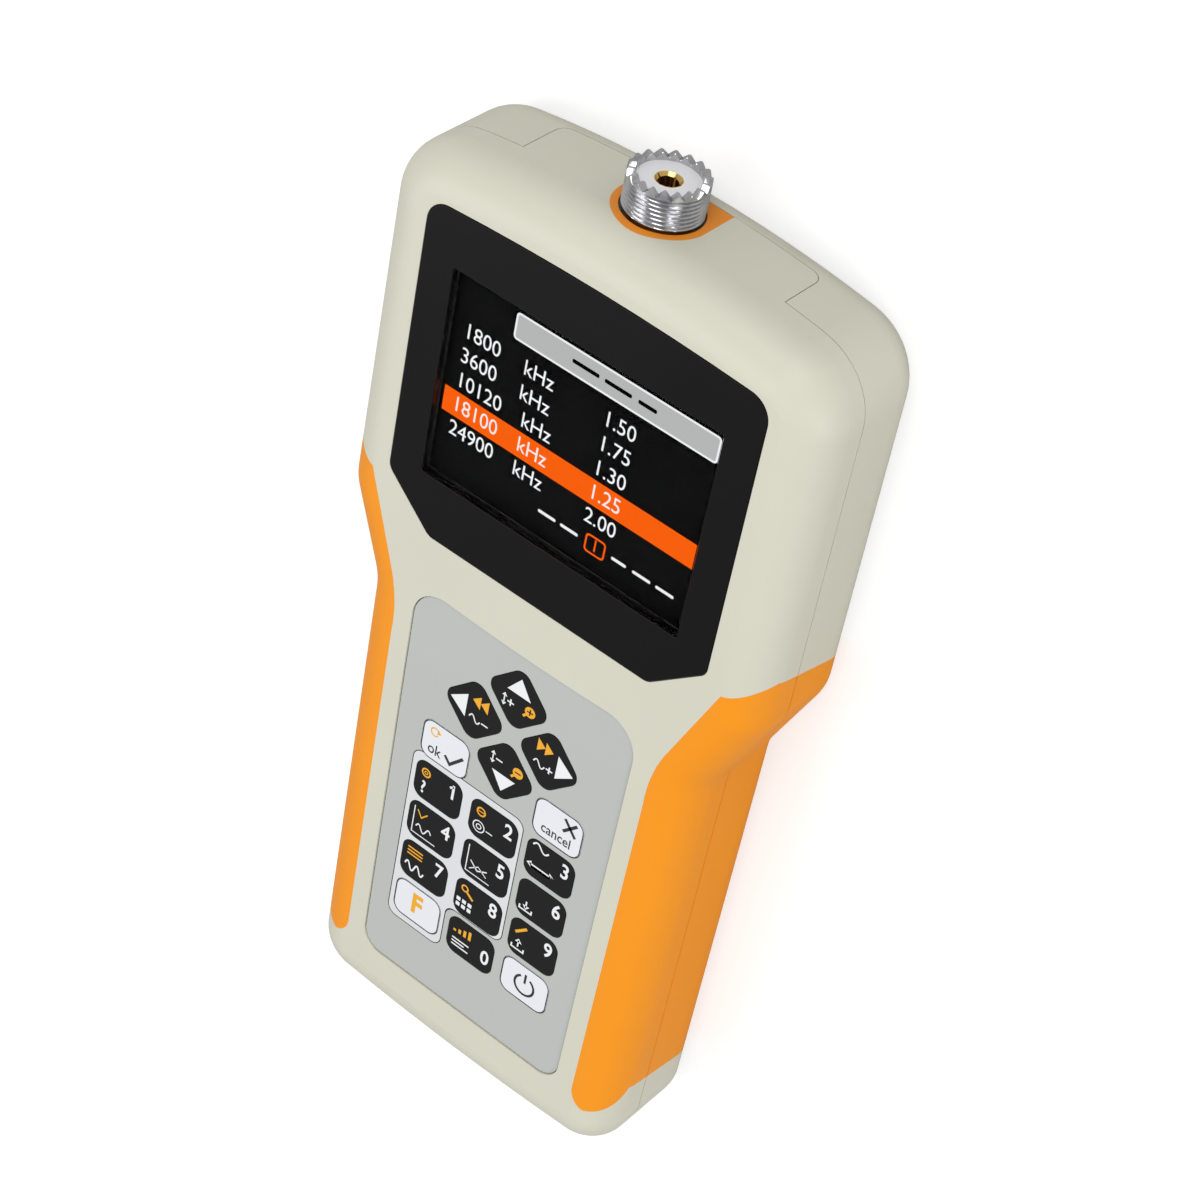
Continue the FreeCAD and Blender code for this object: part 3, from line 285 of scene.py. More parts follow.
finishes = {
    "case_beige": plastic("caseBeige", {
        "color": (0.640, 0.625, 0.515), "rough": 0.46, "bump": 0.32, "worn": 0.05, "drift": 0.05,
    }),
    "soft_orange": plastic("softOrange", {
        "color": (0.900, 0.300, 0.004), "rough": 0.5, "bump": 0.2, "pitScale": 1900.0, "specular": 0.28,
        "worn": 0.05, "drift": 0.05, "wornColor": (0.92, 0.40, 0.05),
    }),
    "trim_orange": plastic("trimOrange", {
        "color": (0.800, 0.265, 0.020), "rough": 0.42, "bump": 0.2, "drift": 0.04, "specular": 0.3,
    }),
    "window_black": plastic("windowPrint", {
        "color": (0.0065, 0.0056, 0.006), "rough": 0.24, "bump": 0.02, "worn": 0.008, "specular": 0.1,
    }),
    "film_grey": plastic("filmGrey", {
        "color": (0.475, 0.495, 0.475), "rough": 0.44, "bump": 0.22, "pitScale": 3400.0, "drift": 0.03,
    }),
    "film_clear": plastic("filmClear", {"color": (0.62, 0.63, 0.62), "rough": 0.3, "bump": 0.05}),
    "key_white": plastic("keyWhite", {
        "color": (0.78, 0.80, 0.84), "rough": 0.36, "bump": 0.2, "pitScale": 3400.0, "drift": 0.02,
    }),
    "key_black": plastic("keyBlack", {
        "color": (0.008, 0.0076, 0.008), "rough": 0.42, "bump": 0.2, "pitScale": 3400.0, "drift": 0.1,
        "worn": 0.02, "specular": 0.14,
    }),
    "plated_nickel": metal("nickelPlate", {
        "color": (0.56, 0.56, 0.575), "dark": (0.36, 0.36, 0.375), "rough": 0.13, "stretch": (1, 12, 1),
    }),
    "insulator_white": plastic("insulatorWhite", {
        "color": (0.80, 0.80, 0.815), "rough": 0.36, "bump": 0.08, "drift": 0.03,
    }),
    "contact_gold": metal("goldPlate", {
        "color": (0.83, 0.56, 0.17), "dark": (0.60, 0.36, 0.07), "rough": 0.14, "bump": 0.1,
    }),
    "bracket_steel": metal("tinnedSheet", {
        "color": (0.60, 0.60, 0.60), "dark": (0.42, 0.42, 0.43), "rough": 0.30, "stretch": (8, 1, 1),
    }),
    "screw_steel": metal("zincPlate", {
        "color": (0.58, 0.58, 0.60), "dark": (0.40, 0.40, 0.42), "rough": 0.28,
    }),
    "frame_metal": metal("frameMetal", {
        "color": (0.16, 0.16, 0.165), "dark": (0.10, 0.10, 0.105), "rough": 0.35,
    }),
    "foam_black": plastic("foamBlack", {
        "color": (0.02, 0.02, 0.02), "rough": 0.85, "bump": 0.9, "pitScale": 900.0,
    }),
    "ribbon_amber": plastic("ribbonAmber", {"color": (0.50, 0.24, 0.04), "rough": 0.3, "bump": 0.05}),
    "pad_carbon": plastic("padCarbon", {"color": (0.02, 0.02, 0.02), "rough": 0.6}),
    "header_white": plastic("headerWhite", {"color": (0.72, 0.70, 0.64), "rough": 0.4}),
    "board_green": plastic("boardGreen", {
        "color": (0.015, 0.13, 0.045), "rough": 0.28, "waveShare": 0.8, "bump": 0.1,
    }),
    "plastic_black": plastic("plasticBlack", {"color": (0.018, 0.018, 0.019), "rough": 0.4}),
    "data_white": plastic("dataWhite", {"color": (0.74, 0.74, 0.71), "rough": 0.4}),
    "cell_wrap": plastic("cellWrap", {
        "color": (0.035, 0.04, 0.05), "rough": 0.24, "bump": 0.03, "coat": 0.3,
    }),
    "screen": plastic("screenBlack", {
        "color": (0.0012, 0.0012, 0.0014), "rough": 0.5, "bump": 0.0, "worn": 0.0, "drift": 0.0,
        "specular": 0.02,
    }),
}
litWhite = glowing("litWhite", {"color": (0.92, 0.93, 0.95)})
litOrange = glowing("litOrange", {"color": (1.0, 0.122, 0.003)})
litGrey = glowing("litGrey", {"color": (0.49, 0.50, 0.49)})
litPale = glowing("litPale", {"color": (1.0, 0.86, 0.80)})
litBlack = glowing("litBlack", {"color": (0.004, 0.004, 0.004), "strength": 0.2})
clearAcrylic = clearSheet("clearAcrylic", {
    "color": (0.97, 0.975, 0.98), "rough": 0.0, "ior": 1.05, "smearScale": 60.0, "smear": 0.015,
})
inkWhite = plastic("inkWhite", {"color": (0.84, 0.85, 0.87), "rough": 0.4, "bump": 0.05, "drift": 0.02})
inkBlack = plastic("inkBlack", {"color": (0.012, 0.012, 0.013), "rough": 0.4, "bump": 0.05})
inkAmber = plastic("inkAmber", {"color": (0.86, 0.40, 0.008), "rough": 0.4, "bump": 0.05, "drift": 0.03})
inkPale = plastic("inkPale", {"color": (0.70, 0.72, 0.735), "rough": 0.44, "bump": 0.1, "drift": 0.02})
bandSilver = plastic("bandSilver", {"color": (0.42, 0.43, 0.44), "rough": 0.3, "bump": 0.02})

slotOf = {part["node"]: part["material_slot"] for part in frame["record"]["subparts"]}
for nodeName, nodeObject in frame["nodes"].items():
    finish = finishes[slotOf[nodeName]]
    for materialSlot in nodeObject.material_slots:
        materialSlot.material = finish
print("finishes set on", len(frame["nodes"]), "nodes")

# mesh helpers


def linked(name, data):
    item = bpy.data.objects.new(name, data)
    scene.collection.objects.link(item)
    return item


def pieceFrom(name, vertices, faces, material, body, smooth=False):
    mesh = bpy.data.meshes.new(name)
    mesh.from_pydata([Vector(v) for v in vertices], [], faces)
    mesh.materials.append(material)
    for polygon in mesh.polygons:
        polygon.use_smooth = smooth
    mesh.validate()
    piece = linked(name, mesh)
    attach(piece, body)
    return piece


def nodeBox(node):
    low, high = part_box(node)
    return Vector(low), Vector(high)


def blockPiece(name, low, high, slotName, bevel):
    # a box with softened edges
    mesh = bpy.data.meshes.new(name)
    form = bmesh.new()
    bmesh.ops.create_cube(form, size=1.0)
    size = Vector(high) - Vector(low)
    bmesh.ops.scale(form, vec=size, verts=form.verts)
    bmesh.ops.translate(form, vec=(Vector(high) + Vector(low)) / 2, verts=form.verts)
    bmesh.ops.bevel(form, geom=form.edges[:], offset=bevel, segments=3, profile=0.5, affect="EDGES")
    form.to_mesh(mesh)
    form.free()
    mesh.materials.append(finishes[slotName])
    piece = linked(name, mesh)
    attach(piece, caseBody)
    return piece


def roundedLoop(points, radii, steps=8):
    # a closed outline through the points, its corners rounded to the radii
    loop = []
    count = len(points)
    for i, (point, radius) in enumerate(zip(points, radii)):
        here = Vector(point)
        if radius <= 0:
            loop.append(tuple(here))
            continue
        back = (Vector(points[i - 1]) - here).normalized()
        ahead = (Vector(points[(i + 1) % count]) - here).normalized()
        halfAngle = back.angle(ahead) / 2
        reach = radius / math.tan(halfAngle)
        centre = here + (back + ahead).normalized() * (radius / math.sin(halfAngle))
        start = here + back * reach - centre
        turn = (math.pi - halfAngle * 2) * (1 if back.cross(ahead) < 0 else -1)
        for step in range(steps + 1):
            spoke = Matrix.Rotation(turn * step / steps, 2) @ start
            loop.append(tuple(centre + spoke))
    return loop


def roundedBox(centreX, centreY, width, height, radius, steps=6):
    left, right = centreX - width / 2, centreX + width / 2
    low, high = centreY - height / 2, centreY + height / 2
    return roundedLoop([(left, low), (right, low), (right, high), (left, high)], [radius] * 4, steps)


def arcLoop(centreX, centreY, radius, start=0.0, end=math.tau, steps=24):
    return [
        (centreX + radius * math.cos(start + (end - start) * i / steps),
         centreY + radius * math.sin(start + (end - start) * i / steps))
        for i in range(steps + 1 if end - start < math.tau - 1e-6 else steps)
    ]


def bandOf(points, width):
    # the outline of a stroke of even width along an open line
    left, right = [], []
    for i, point in enumerate(points):
        here = Vector(point)
        before = (here - Vector(points[i - 1])).normalized() if i else None
        after = (Vector(points[i + 1]) - here).normalized() if i + 1 < len(points) else None
        along = ((before or after) + (after or before)).normalized()
        side = Vector((-along.y, along.x))
        edge = Vector((-(after or before).y, (after or before).x))
        reach = width / 2 / max(0.4, side.dot(edge))
        left.append(tuple(here + side * reach))
        right.append(tuple(here - side * reach))
    return left + right[::-1]


def rowY(stationY):
    # stations are counted in millimetres from the bottom end of the case
    return cadBox[0][1] + stationY * mm


def evaluatedMesh(name, curve):
    # the mesh that a curve or a text gives; the curve itself is removed
    holder = linked(f"{name}Curve", curve)
    bpy.context.view_layer.update()
    mesh = bpy.data.meshes.new_from_object(holder.evaluated_get(bpy.context.evaluated_depsgraph_get()))
    bpy.data.objects.remove(holder)
    bpy.data.curves.remove(curve)
    mesh.materials.clear()
    return mesh


def meshOfCurve(name, curve, material, body, height, place, narrow=1.0):
    # turns a flat curve or a text into a thin printed mesh at a height
    mesh = evaluatedMesh(name, curve)
    mesh.name = name
    mesh.materials.append(material)
    squeeze = Matrix.Diagonal((narrow, 1.0, 1.0, 1.0))
    mesh.transform(Matrix.Translation((place[0] * mm, rowY(place[1]), height)) @ squeeze)
    piece = linked(name, mesh)
    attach(piece, body)
    return piece


def flatShape(
    name, loops, material, height, body=caseBody, thick=0.01, place=(0, 0), bevel=0.0,
):
    # a filled flat form from closed outlines in millimetres; an outline inside another is a hole
    curve = bpy.data.curves.new(name, "CURVE")
    curve.dimensions = "2D"
    curve.fill_mode = "BOTH"
    curve.extrude = (thick / 2 - bevel) * mm
    curve.bevel_depth = bevel * mm
    curve.offset = -bevel * mm
    for loop in loops:
        spline = curve.splines.new("POLY")
        spline.points.add(len(loop) - 1)
        for point, (x, y) in zip(spline.points, loop):
            point.co = (x * mm, y * mm, 0, 1)
        spline.use_cyclic_u = True
    return meshOfCurve(name, curve, material, body, height, place)


def textShape(
    name, words, size, material, height, place, body=caseBody, align="CENTER", bold=0.0, narrow=1.0,
):
    # printed words, their size in millimetres
    curve = bpy.data.curves.new(name, "FONT")
    curve.body = words
    curve.size = size * mm
    curve.extrude = 0.005 * mm
    curve.resolution_u = 4
    curve.offset = bold * mm
    curve.align_x = align
    curve.align_y = "CENTER"
    return meshOfCurve(name, curve, material, body, height, place, narrow)


# the coaxial socket: a turned barrel with thread and toothed rim, and its square flange

socketLook = {
    "threadRadius": 7.9375 * mm, "rootRadius": 7.36 * mm, "pitch": 0.9 * mm, "flank": 2.5, "rootFlat": 0.12,
    "runOut": 0.25 * mm, "threadLength": 7.6 * mm, "boreRadius": 6.2375 * mm, "boreDepth": 1.75 * mm,
    "rimBand": 0.22 * mm, "teeth": 18, "toothDepth": 1.1 * mm, "toothFlat": 1.12, "band": 0.05 * mm,
    "outerEdge": 0.3 * mm, "outerDrop": 0.18 * mm, "innerEdge": 0.12 * mm,
    "flangeThick": 1.8 * mm, "flangeBevel": 1.2 * mm, "bossLength": 4.0 * mm,
    "steps": 216, "rows": 12, "sharpFrom": 32,
}


def buildSocket():
    look = socketLook
    crest, root, bore = look["threadRadius"], look["rootRadius"], look["boreRadius"]
    low, high = nodeBox("socket_body")
    tipY = high.y
    axisZ = (low.z + high.z) / 2
    flangeY = tipY - look["threadLength"]
    rimStart = tipY - look["toothDepth"] - look["rimBand"]
    steps = look["steps"]
    turns = (rimStart - flangeY) / look["pitch"]
    rowCount = int(turns * look["rows"])
    vertices = []
    rings = []

    def threadRadius(y, angle):
        turn = ((y - flangeY) / look["pitch"] - angle / math.tau) % 1.0
        shape = min(1.0, max(0.0, abs(turn - 0.5) * look["flank"] - look["rootFlat"]))
        fade = min(1.0, (rimStart - y) / look["runOut"])
        return crest - (crest - root) * (1 - shape) * fade

    def toothTop(angle):
        phase = (angle / math.tau * look["teeth"] + 0.5) % 1.0
        ramp = 1 - abs(phase - 0.5) * 2
        return rimStart + look["rimBand"] + look["toothDepth"] * min(1.0, ramp * look["toothFlat"])

    def addRing(radius, height):
        # radius and height are numbers, or functions of the angle
        ring = []
        for i in range(steps):
            angle = math.tau * i / steps
            r = radius(angle) if callable(radius) else radius
            y = height(angle) if callable(height) else height
            ring.append(len(vertices))
            vertices.append((r * math.cos(angle), y, axisZ + r * math.sin(angle)))
        rings.append(ring)

    start = low.y + look["bossLength"] + look["flangeThick"] / 2
    addRing(bore, start)
    addRing(root, start)
    addRing(root, flangeY)
    for row in range(rowCount + 1):
        y = flangeY + (rimStart - flangeY) * row / rowCount
        addRing(lambda a, y=y: threadRadius(y, a), y)
    addRing(crest, rimStart + look["band"])
    addRing(crest, lambda a: toothTop(a) - look["outerDrop"])
    addRing(crest - look["outerEdge"], toothTop)
    addRing(bore + look["innerEdge"], toothTop)
    addRing(bore, lambda a: toothTop(a) - look["innerEdge"])
    addRing(bore, tipY - look["boreDepth"])
    faces = []
    for ringA, ringB in zip(rings, rings[1:]):
        for i in range(steps):
            j = (i + 1) % steps
            faces.append((ringA[i], ringA[j], ringB[j], ringB[i]))
    plate = finishes["plated_nickel"]
    piece = pieceFrom("socketBarrel", vertices, faces, plate, caseBody, True)
    piece.data.set_sharp_from_angle(angle=math.radians(look["sharpFrom"]))
    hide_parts("socket_body")
    half = (high.x - low.x) / 2
    flangeLow = low.y + look["bossLength"]
    flange = blockPiece(
        "socketFlange", (-half, flangeLow, axisZ - half),
        (half, flangeLow + look["flangeThick"], axisZ + half), "plated_nickel", look["flangeBevel"],
    )
    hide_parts("socket_body")


buildSocket()
print("socket thread and rim built")

# turned pieces and wound wire


def turnedPiece(name, profile, centre, along, slotName, body=caseBody, steps=48, material=None):
    # turns (radius, distance) pairs in millimetres about an axis through centre; along is "Y" or "Z"
    vertices = []
    for radius, distance in profile:
        for i in range(steps):
            angle = math.tau * i / steps
            across, up = radius * mm * math.cos(angle), radius * mm * math.sin(angle)
            offset = (across, distance * mm, up) if along == "Y" else (across, up, distance * mm)
            vertices.append(Vector(centre) + Vector(offset))
    faces = []
    for row in range(len(profile) - 1):
        for i in range(steps):
            j = (i + 1) % steps
            faces.append((row * steps + i, row * steps + j, (row + 1) * steps + j, (row + 1) * steps + i))
    faces.append(tuple(range(steps)))
    faces.append(tuple(range((len(profile) - 1) * steps, len(profile) * steps))[::-1])
    piece = pieceFrom(name, vertices, faces, material or finishes[slotName], body, True)
    piece.data.set_sharp_from_angle(angle=math.radians(35))
    return piece


def wirePiece(name, points, radius, slotName, body=caseBody):
    # a round wire along the points
    curve = bpy.data.curves.new(name, "CURVE")
    curve.dimensions = "3D"
    curve.bevel_depth = radius * mm
    curve.bevel_resolution = 2
    curve.use_fill_caps = True
    spline = curve.splines.new("POLY")
    spline.points.add(len(points) - 1)
    for point, place in zip(spline.points, points):
        point.co = (*place, 1)
    mesh = evaluatedMesh(name, curve)
    mesh.materials.append(finishes[slotName])
    for polygon in mesh.polygons:
        polygon.use_smooth = True
    piece = linked(name, mesh)
    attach(piece, body)
    return piece


# sizes of a cell and its spring in millimetres
cellLook = {
    "barrel": 7.2, "edge": 0.5, "endDrop": 0.1,
    "collar": 1.6, "band": 9, "bandSunk": 0.02, "bandProud": 0.03,
    "cap": 5.4, "capEdge": 0.2, "capDepth": 0.3,
    "nub": 2.7, "nubLength": 1.5, "nubRise": 0.05, "nubEdge": 0.3,
    "turns": 5, "stepsPerTurn": 24, "wire": 0.42, "wide": 3.5, "narrow": 2.4, "gap": 6.9,
    "closedShare": 0.12, "openShare": 0.76,
}


def buildCell(index):
    look = cellLook
    low, high = nodeBox(f"cell_{index}")
    centre = Vector(((low.x + high.x) / 2, 0, (low.z + high.z) / 2))
    turned = index == 2
    sign = -1 if turned else 1
    start = high.y if turned else low.y
    centre.y = start
    length = (high.y - low.y) / mm
    barrel = length - look["nubLength"]
    radius, edge, drop = look["barrel"], look["edge"], look["endDrop"]
    bandEnd = barrel - look["collar"]
    bandStart = bandEnd - look["band"]
    sunk, proud = radius - look["bandSunk"], radius + look["bandProud"]
    cap, capDepth, nub = look["cap"], look["capDepth"], look["nub"]
    steel = finishes["screw_steel"]
    forms = (
        ("Wrap", None, [(radius - edge, drop), (radius, edge), (radius, barrel - edge),
                        (radius - edge, barrel - drop)]),
        ("Band", bandSilver, [(sunk, bandStart), (proud, bandStart), (proud, bandEnd), (sunk, bandEnd)]),
        ("Foot", steel, [(cap, 0.0), (cap, capDepth)]),
        ("Nub", steel, [(cap, barrel - capDepth), (cap - look["capEdge"], barrel),
                        (nub, barrel + look["nubRise"]), (nub, length - look["nubEdge"]),
                        (nub - look["nubEdge"], length)]),
    )
    for form, material, profile in forms:
        along = [(r, distance * sign) for r, distance in profile]
        piece = turnedPiece(f"cell{form}{index}", along, centre, "Y", "cell_wrap", material=material)
        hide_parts(f"cell_{index}")
    gap, thick = look["gap"] * mm, look["wire"] * mm
    outer = start - gap * sign
    count = look["turns"] * look["stepsPerTurn"]
    points = []
    for i in range(count + 1):
        share = i / count
        angle = math.tau * look["turns"] * share
        rise = min(1.0, max(0.0, (share - look["closedShare"]) / look["openShare"]))
        r = (look["wide"] + (look["narrow"] - look["wide"]) * share) * mm
        y = outer + (thick + rise * (gap - 2 * thick)) * sign
        points.append((centre.x + r * math.cos(angle), y, centre.z + r * math.sin(angle)))
    coil = wirePiece(f"batteryCoil{index}", points, look["wire"], "bracket_steel")
    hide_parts("battery_springs")


for cellIndex in (1, 2, 3):
    buildCell(cellIndex)
print("cells and springs built")

# small hardware, in millimetres

screwLook = {
    "headRadius": 2.8, "headDepth": 1.8, "edge": 0.15, "arm": 1.5, "slot": 0.5, "recess": 0.9,
    "shank": 1.5, "tip": 0.4, "point": 1.0, "footX": 30.5,
}
contactLook = {
    "across": 1.25, "above": 1.6, "start": 2.0, "length": 8, "halfWide": 0.5, "halfThick": 0.1, "bevel": 0.08,
}
ridgeLook = {
    "dip": 11.4, "radius": 7.2, "count": 5, "pitch": 2.4, "half": 0.4, "foot": 0.1, "top": 0.75,
    "bevel": 0.15,
}


def plusLoop(reach, half):
    corner = [(half, -reach), (half, -half), (reach, -half), (reach, half), (half, half), (half, reach)]
    return corner + [(-x, y) for x, y in reversed(corner)]


def buildCaseScrews():
    look = screwLook
    low, high = nodeBox("case_screws")
    radius = look["headRadius"] * mm
    headX, headY = high.x - radius, high.y - radius
    footX, footY = look["footX"] * mm, low.y + radius
    length = (high.z - low.z) / mm
    cut = [arcLoop(0, 0, look["headRadius"] - look["edge"]), plusLoop(look["arm"], look["slot"] / 2)]
    for i, (x, y) in enumerate([(headX, headY), (-headX, headY), (footX, footY), (-footX, footY)]):
        face = flatShape(
            f"screwFace{i}", cut, finishes["screw_steel"], low.z + look["recess"] * mm / 2,
            thick=look["recess"], place=(x / mm, (y - rowY(0)) / mm),
        )
        body = turnedPiece(
            f"screwBody{i}",
            [(look["headRadius"], look["edge"]), (look["headRadius"], look["headDepth"]),
             (look["shank"], look["headDepth"]), (look["shank"], length - look["point"]),
             (look["tip"], length)],
            (x, y, low.z), "Z", "screw_steel", steps=32,
        )
        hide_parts("case_screws")
        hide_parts("case_screws")


def buildDataContacts():
    look = contactLook
    low, high = nodeBox("data_insert")
    middle = (low.z + high.z) / 2
    start = low.y + look["start"] * mm
    wide, thick = look["halfWide"] * mm, look["halfThick"] * mm
    for i, (side, level) in enumerate(((-1, 1), (1, 1), (-1, -1), (1, -1))):
        x = side * look["across"] * mm
        z = middle + level * look["above"] * mm
        blockPiece(
            f"dataContact{i}", (x - wide, start, z - thick),
            (x + wide, start + look["length"] * mm, z + thick), "contact_gold", look["bevel"] * mm,
        )


def buildCoverRidges():
    # raised ridges in the thumb dip of the battery cover
    look = ridgeLook
    low, high = nodeBox("battery_cover")
    dipY = high.y - look["dip"] * mm
    half = look["half"] * mm
    for i in range(look["count"]):
        offset = (i - look["count"] // 2) * look["pitch"]
        y = dipY + offset * mm
        reach = math.sqrt(look["radius"] ** 2 - offset ** 2) * mm
        ridge = blockPiece(
            f"thumbRidge{i}", (-reach, y - half, low.z + look["foot"] * mm),
            (reach, y + half, low.z + look["top"] * mm), "case_beige", look["bevel"] * mm,
        )
        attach(ridge, "cover")


buildDataContacts()
buildCoverRidges()
buildCaseScrews()
print("screws, contacts and ridges built")

# the display window: a black print with an opening, and a clear sheet in the opening

windowLook = {
    "halfWidth": 40.4, "footHalf": 28.2, "low": 134.7, "slopeTop": 145.1, "high": 209.0, "rise": 1.6,
    "crownSteps": 12, "corner": 5.0, "soft": 3.0, "bevel": 0.15,
    "openLow": 148.9, "openHigh": 197.5, "openHalf": 32.4, "openCorner": 0.5, "fitGap": 0.02, "sheet": 0.12,
}


def windowLoop():
    # the window's outline, its top edge slightly crowned
    look = windowLook
    half, steps = look["halfWidth"], look["crownSteps"]
    crown = [
        (half * (1 - 2 * i / steps), look["high"] + look["rise"] * (1 - (1 - 2 * i / steps) ** 2))
        for i in range(1, steps)
    ]
    right = [(look["footHalf"], look["low"]), (half, look["slopeTop"]), (half, look["high"])]
    left = [(-x, y) for x, y in reversed(right)]
    corners = [look["soft"], look["soft"], look["corner"]]
    return roundedLoop(right + crown + left, corners + [0] * len(crown) + corners[::-1])


def buildWindow():
    look = windowLook
    low, high = nodeBox("display_window")
    middleY = (look["openLow"] + look["openHigh"]) / 2
    wide, tall, corner = look["openHalf"] * 2, look["openHigh"] - look["openLow"], look["openCorner"]
    body = flatShape(
        "windowPrint", [windowLoop(), roundedBox(0, middleY, wide, tall, corner)],
        finishes["window_black"], (low.z + high.z) / 2,
        thick=(high.z - low.z) / mm, bevel=look["bevel"],
    )
    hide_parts("display_window")
    clear = flatShape(
        "windowClear", [roundedBox(0, middleY, wide - look["fitGap"], tall - look["fitGap"], corner)],
        clearAcrylic, high.z - look["sheet"] * mm, thick=look["sheet"],
    )
    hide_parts("display_window")


buildWindow()
print("display window built")

# the picture on the display: generic figures only, and plain bars where words would be

screenLook = {
    "top": 197.4, "bottom": 148.9, "groundWide": 64.4, "groundTall": 48.2, "layer": 0.02 * mm,
    "titlePlace": (6.5, 191.8), "titleWide": 49.0, "titleTall": 6.1, "titleLine": 0.9,
    "titleBars": [(-7.2, 6.5), (0.6, 6.5), (7.6, 4.4)], "titleBar": 0.9,
    "rowHigh": 184.0, "rowPitch": 5.78, "digitSize": 5.0, "narrow": 0.92,
    "left": -29.3, "unit": (-14.4, -12.9), "ratioX": 5.2,
    "rows": [("1800", "1.50"), ("3600", "1.75"), ("10120", "1.30"), ("18100", "1.25"), ("24900", "2.00")],
    "chosen": 3, "chosenX": -0.4, "chosenWide": 62.6, "chosenTall": 5.9,
    "hintY": 155.0, "hintBar": 0.7,
    "hintBars": [(-3.0, 4.4), (2.6, 4.4), (15.0, 3.6), (20.6, 4.4), (26.3, 4.4)],
    "hintBoxX": 9.1, "hintWide": 5.0, "hintTall": 4.4, "hintLine": 0.8, "hintDigit": 4.2, "hintNarrow": 0.9,
}


def buildScreen():
    look = screenLook
    low, high = nodeBox("display_panel")
    level = high.z + look["layer"]
    upper = level + look["layer"]
    top = upper + look["layer"]
    back = roundedBox(0, (look["top"] + look["bottom"]) / 2, look["groundWide"], look["groundTall"], 0.1, 1)
    flatShape("screenGround", [back], finishes["screen"], level)
    x, y = look["titlePlace"]
    wide, tall, line = look["titleWide"], look["titleTall"], look["titleLine"]
    titleInner = roundedBox(x, y, wide - line, tall - line, 0.5)
    flatShape("titleLine", [roundedBox(x, y, wide, tall, 0.9), titleInner], litWhite, upper)
    flatShape("titleField", [titleInner], litGrey, upper)
    bars = [roundedBox(x + offset, y, w, look["titleBar"], 0.3, 3) for offset, w in look["titleBars"]]
    flatShape("titleBars", bars, litBlack, upper + look["layer"] / 2)
    for row, (figure, ratio) in enumerate(look["rows"]):
        y = look["rowHigh"] - look["rowPitch"] * row
        ink = litWhite
        if row == look["chosen"]:
            ink = litPale
            field = roundedBox(look["chosenX"], y, look["chosenWide"], look["chosenTall"], 0.05, 1)
            flatShape("chosenRow", [field], litOrange, upper)
        # the unit stands a little further right after five digits
        unitX = look["unit"][len(figure) > 4]
        parts = (("figure", figure, look["left"]), ("unit", "kHz", unitX), ("ratio", ratio, look["ratioX"]))
        for name, words, x in parts:
            textShape(
                f"{name}{row}", words, look["digitSize"], ink, top, (x, y),
                align="LEFT", narrow=look["narrow"],
            )
    y, boxX = look["hintY"], look["hintBoxX"]
    wide, tall, line = look["hintWide"], look["hintTall"], look["hintLine"]
    bars = [roundedBox(x, y, w, look["hintBar"], 0.25, 3) for x, w in look["hintBars"]]
    flatShape("hintBars", bars, litWhite, upper)
    frameLoops = [roundedBox(boxX, y, wide, tall, 0.9), roundedBox(boxX, y, wide - line, tall - line, 0.6)]
    flatShape("hintBox", frameLoops, litOrange, upper)
    textShape("hintDigit", "1", look["hintDigit"], litOrange, upper, (boxX, y), narrow=look["hintNarrow"])


buildScreen()
print("display picture built")

# the keypad's print

keypadLook = {
    "pitch": 15.4, "rowPitch": 11.8, "firstRow": 73.2,
    "keyWidth": 12.7, "keyHeight": 10.3, "keyCorner": 2.6, "keyGap": 0.3, "lineWidth": 0.22, "keyLine": 0.5,
    "fieldX": (-23.2, -7.8, 7.5), "fieldY": (30.8, 44.0, 80.4), "fieldCorner": 2.6,
    "printRise": 0.008 * mm, "layer": 0.01 * mm,
    "digitSize": 5.5, "digitPlace": (3.9, 1.7), "zeroPlace": (4.2, -0.9), "digitBold": 0.1,
    "signX": -3.9, "signHigh": 2.35, "signLow": -2.1,
    "signGrowth": 1.25, "growFrom": {"amber": (-5.0, 2.9), "white": (-5.0, -2.4)},
}
# the usual width of a printed line
stroke = 0.32


def keyPlace(column, row):
    look = keypadLook
    return look["pitch"] * column, look["firstRow"] - look["rowPitch"] * row


def keyTop(node):
    return nodeBox(node)[1].z + keypadLook["printRise"]


def keyCentre(node):
    low, high = nodeBox(node)
    return (low.x + high.x) / 2 / mm, ((low.y + high.y) / 2 - rowY(0)) / mm


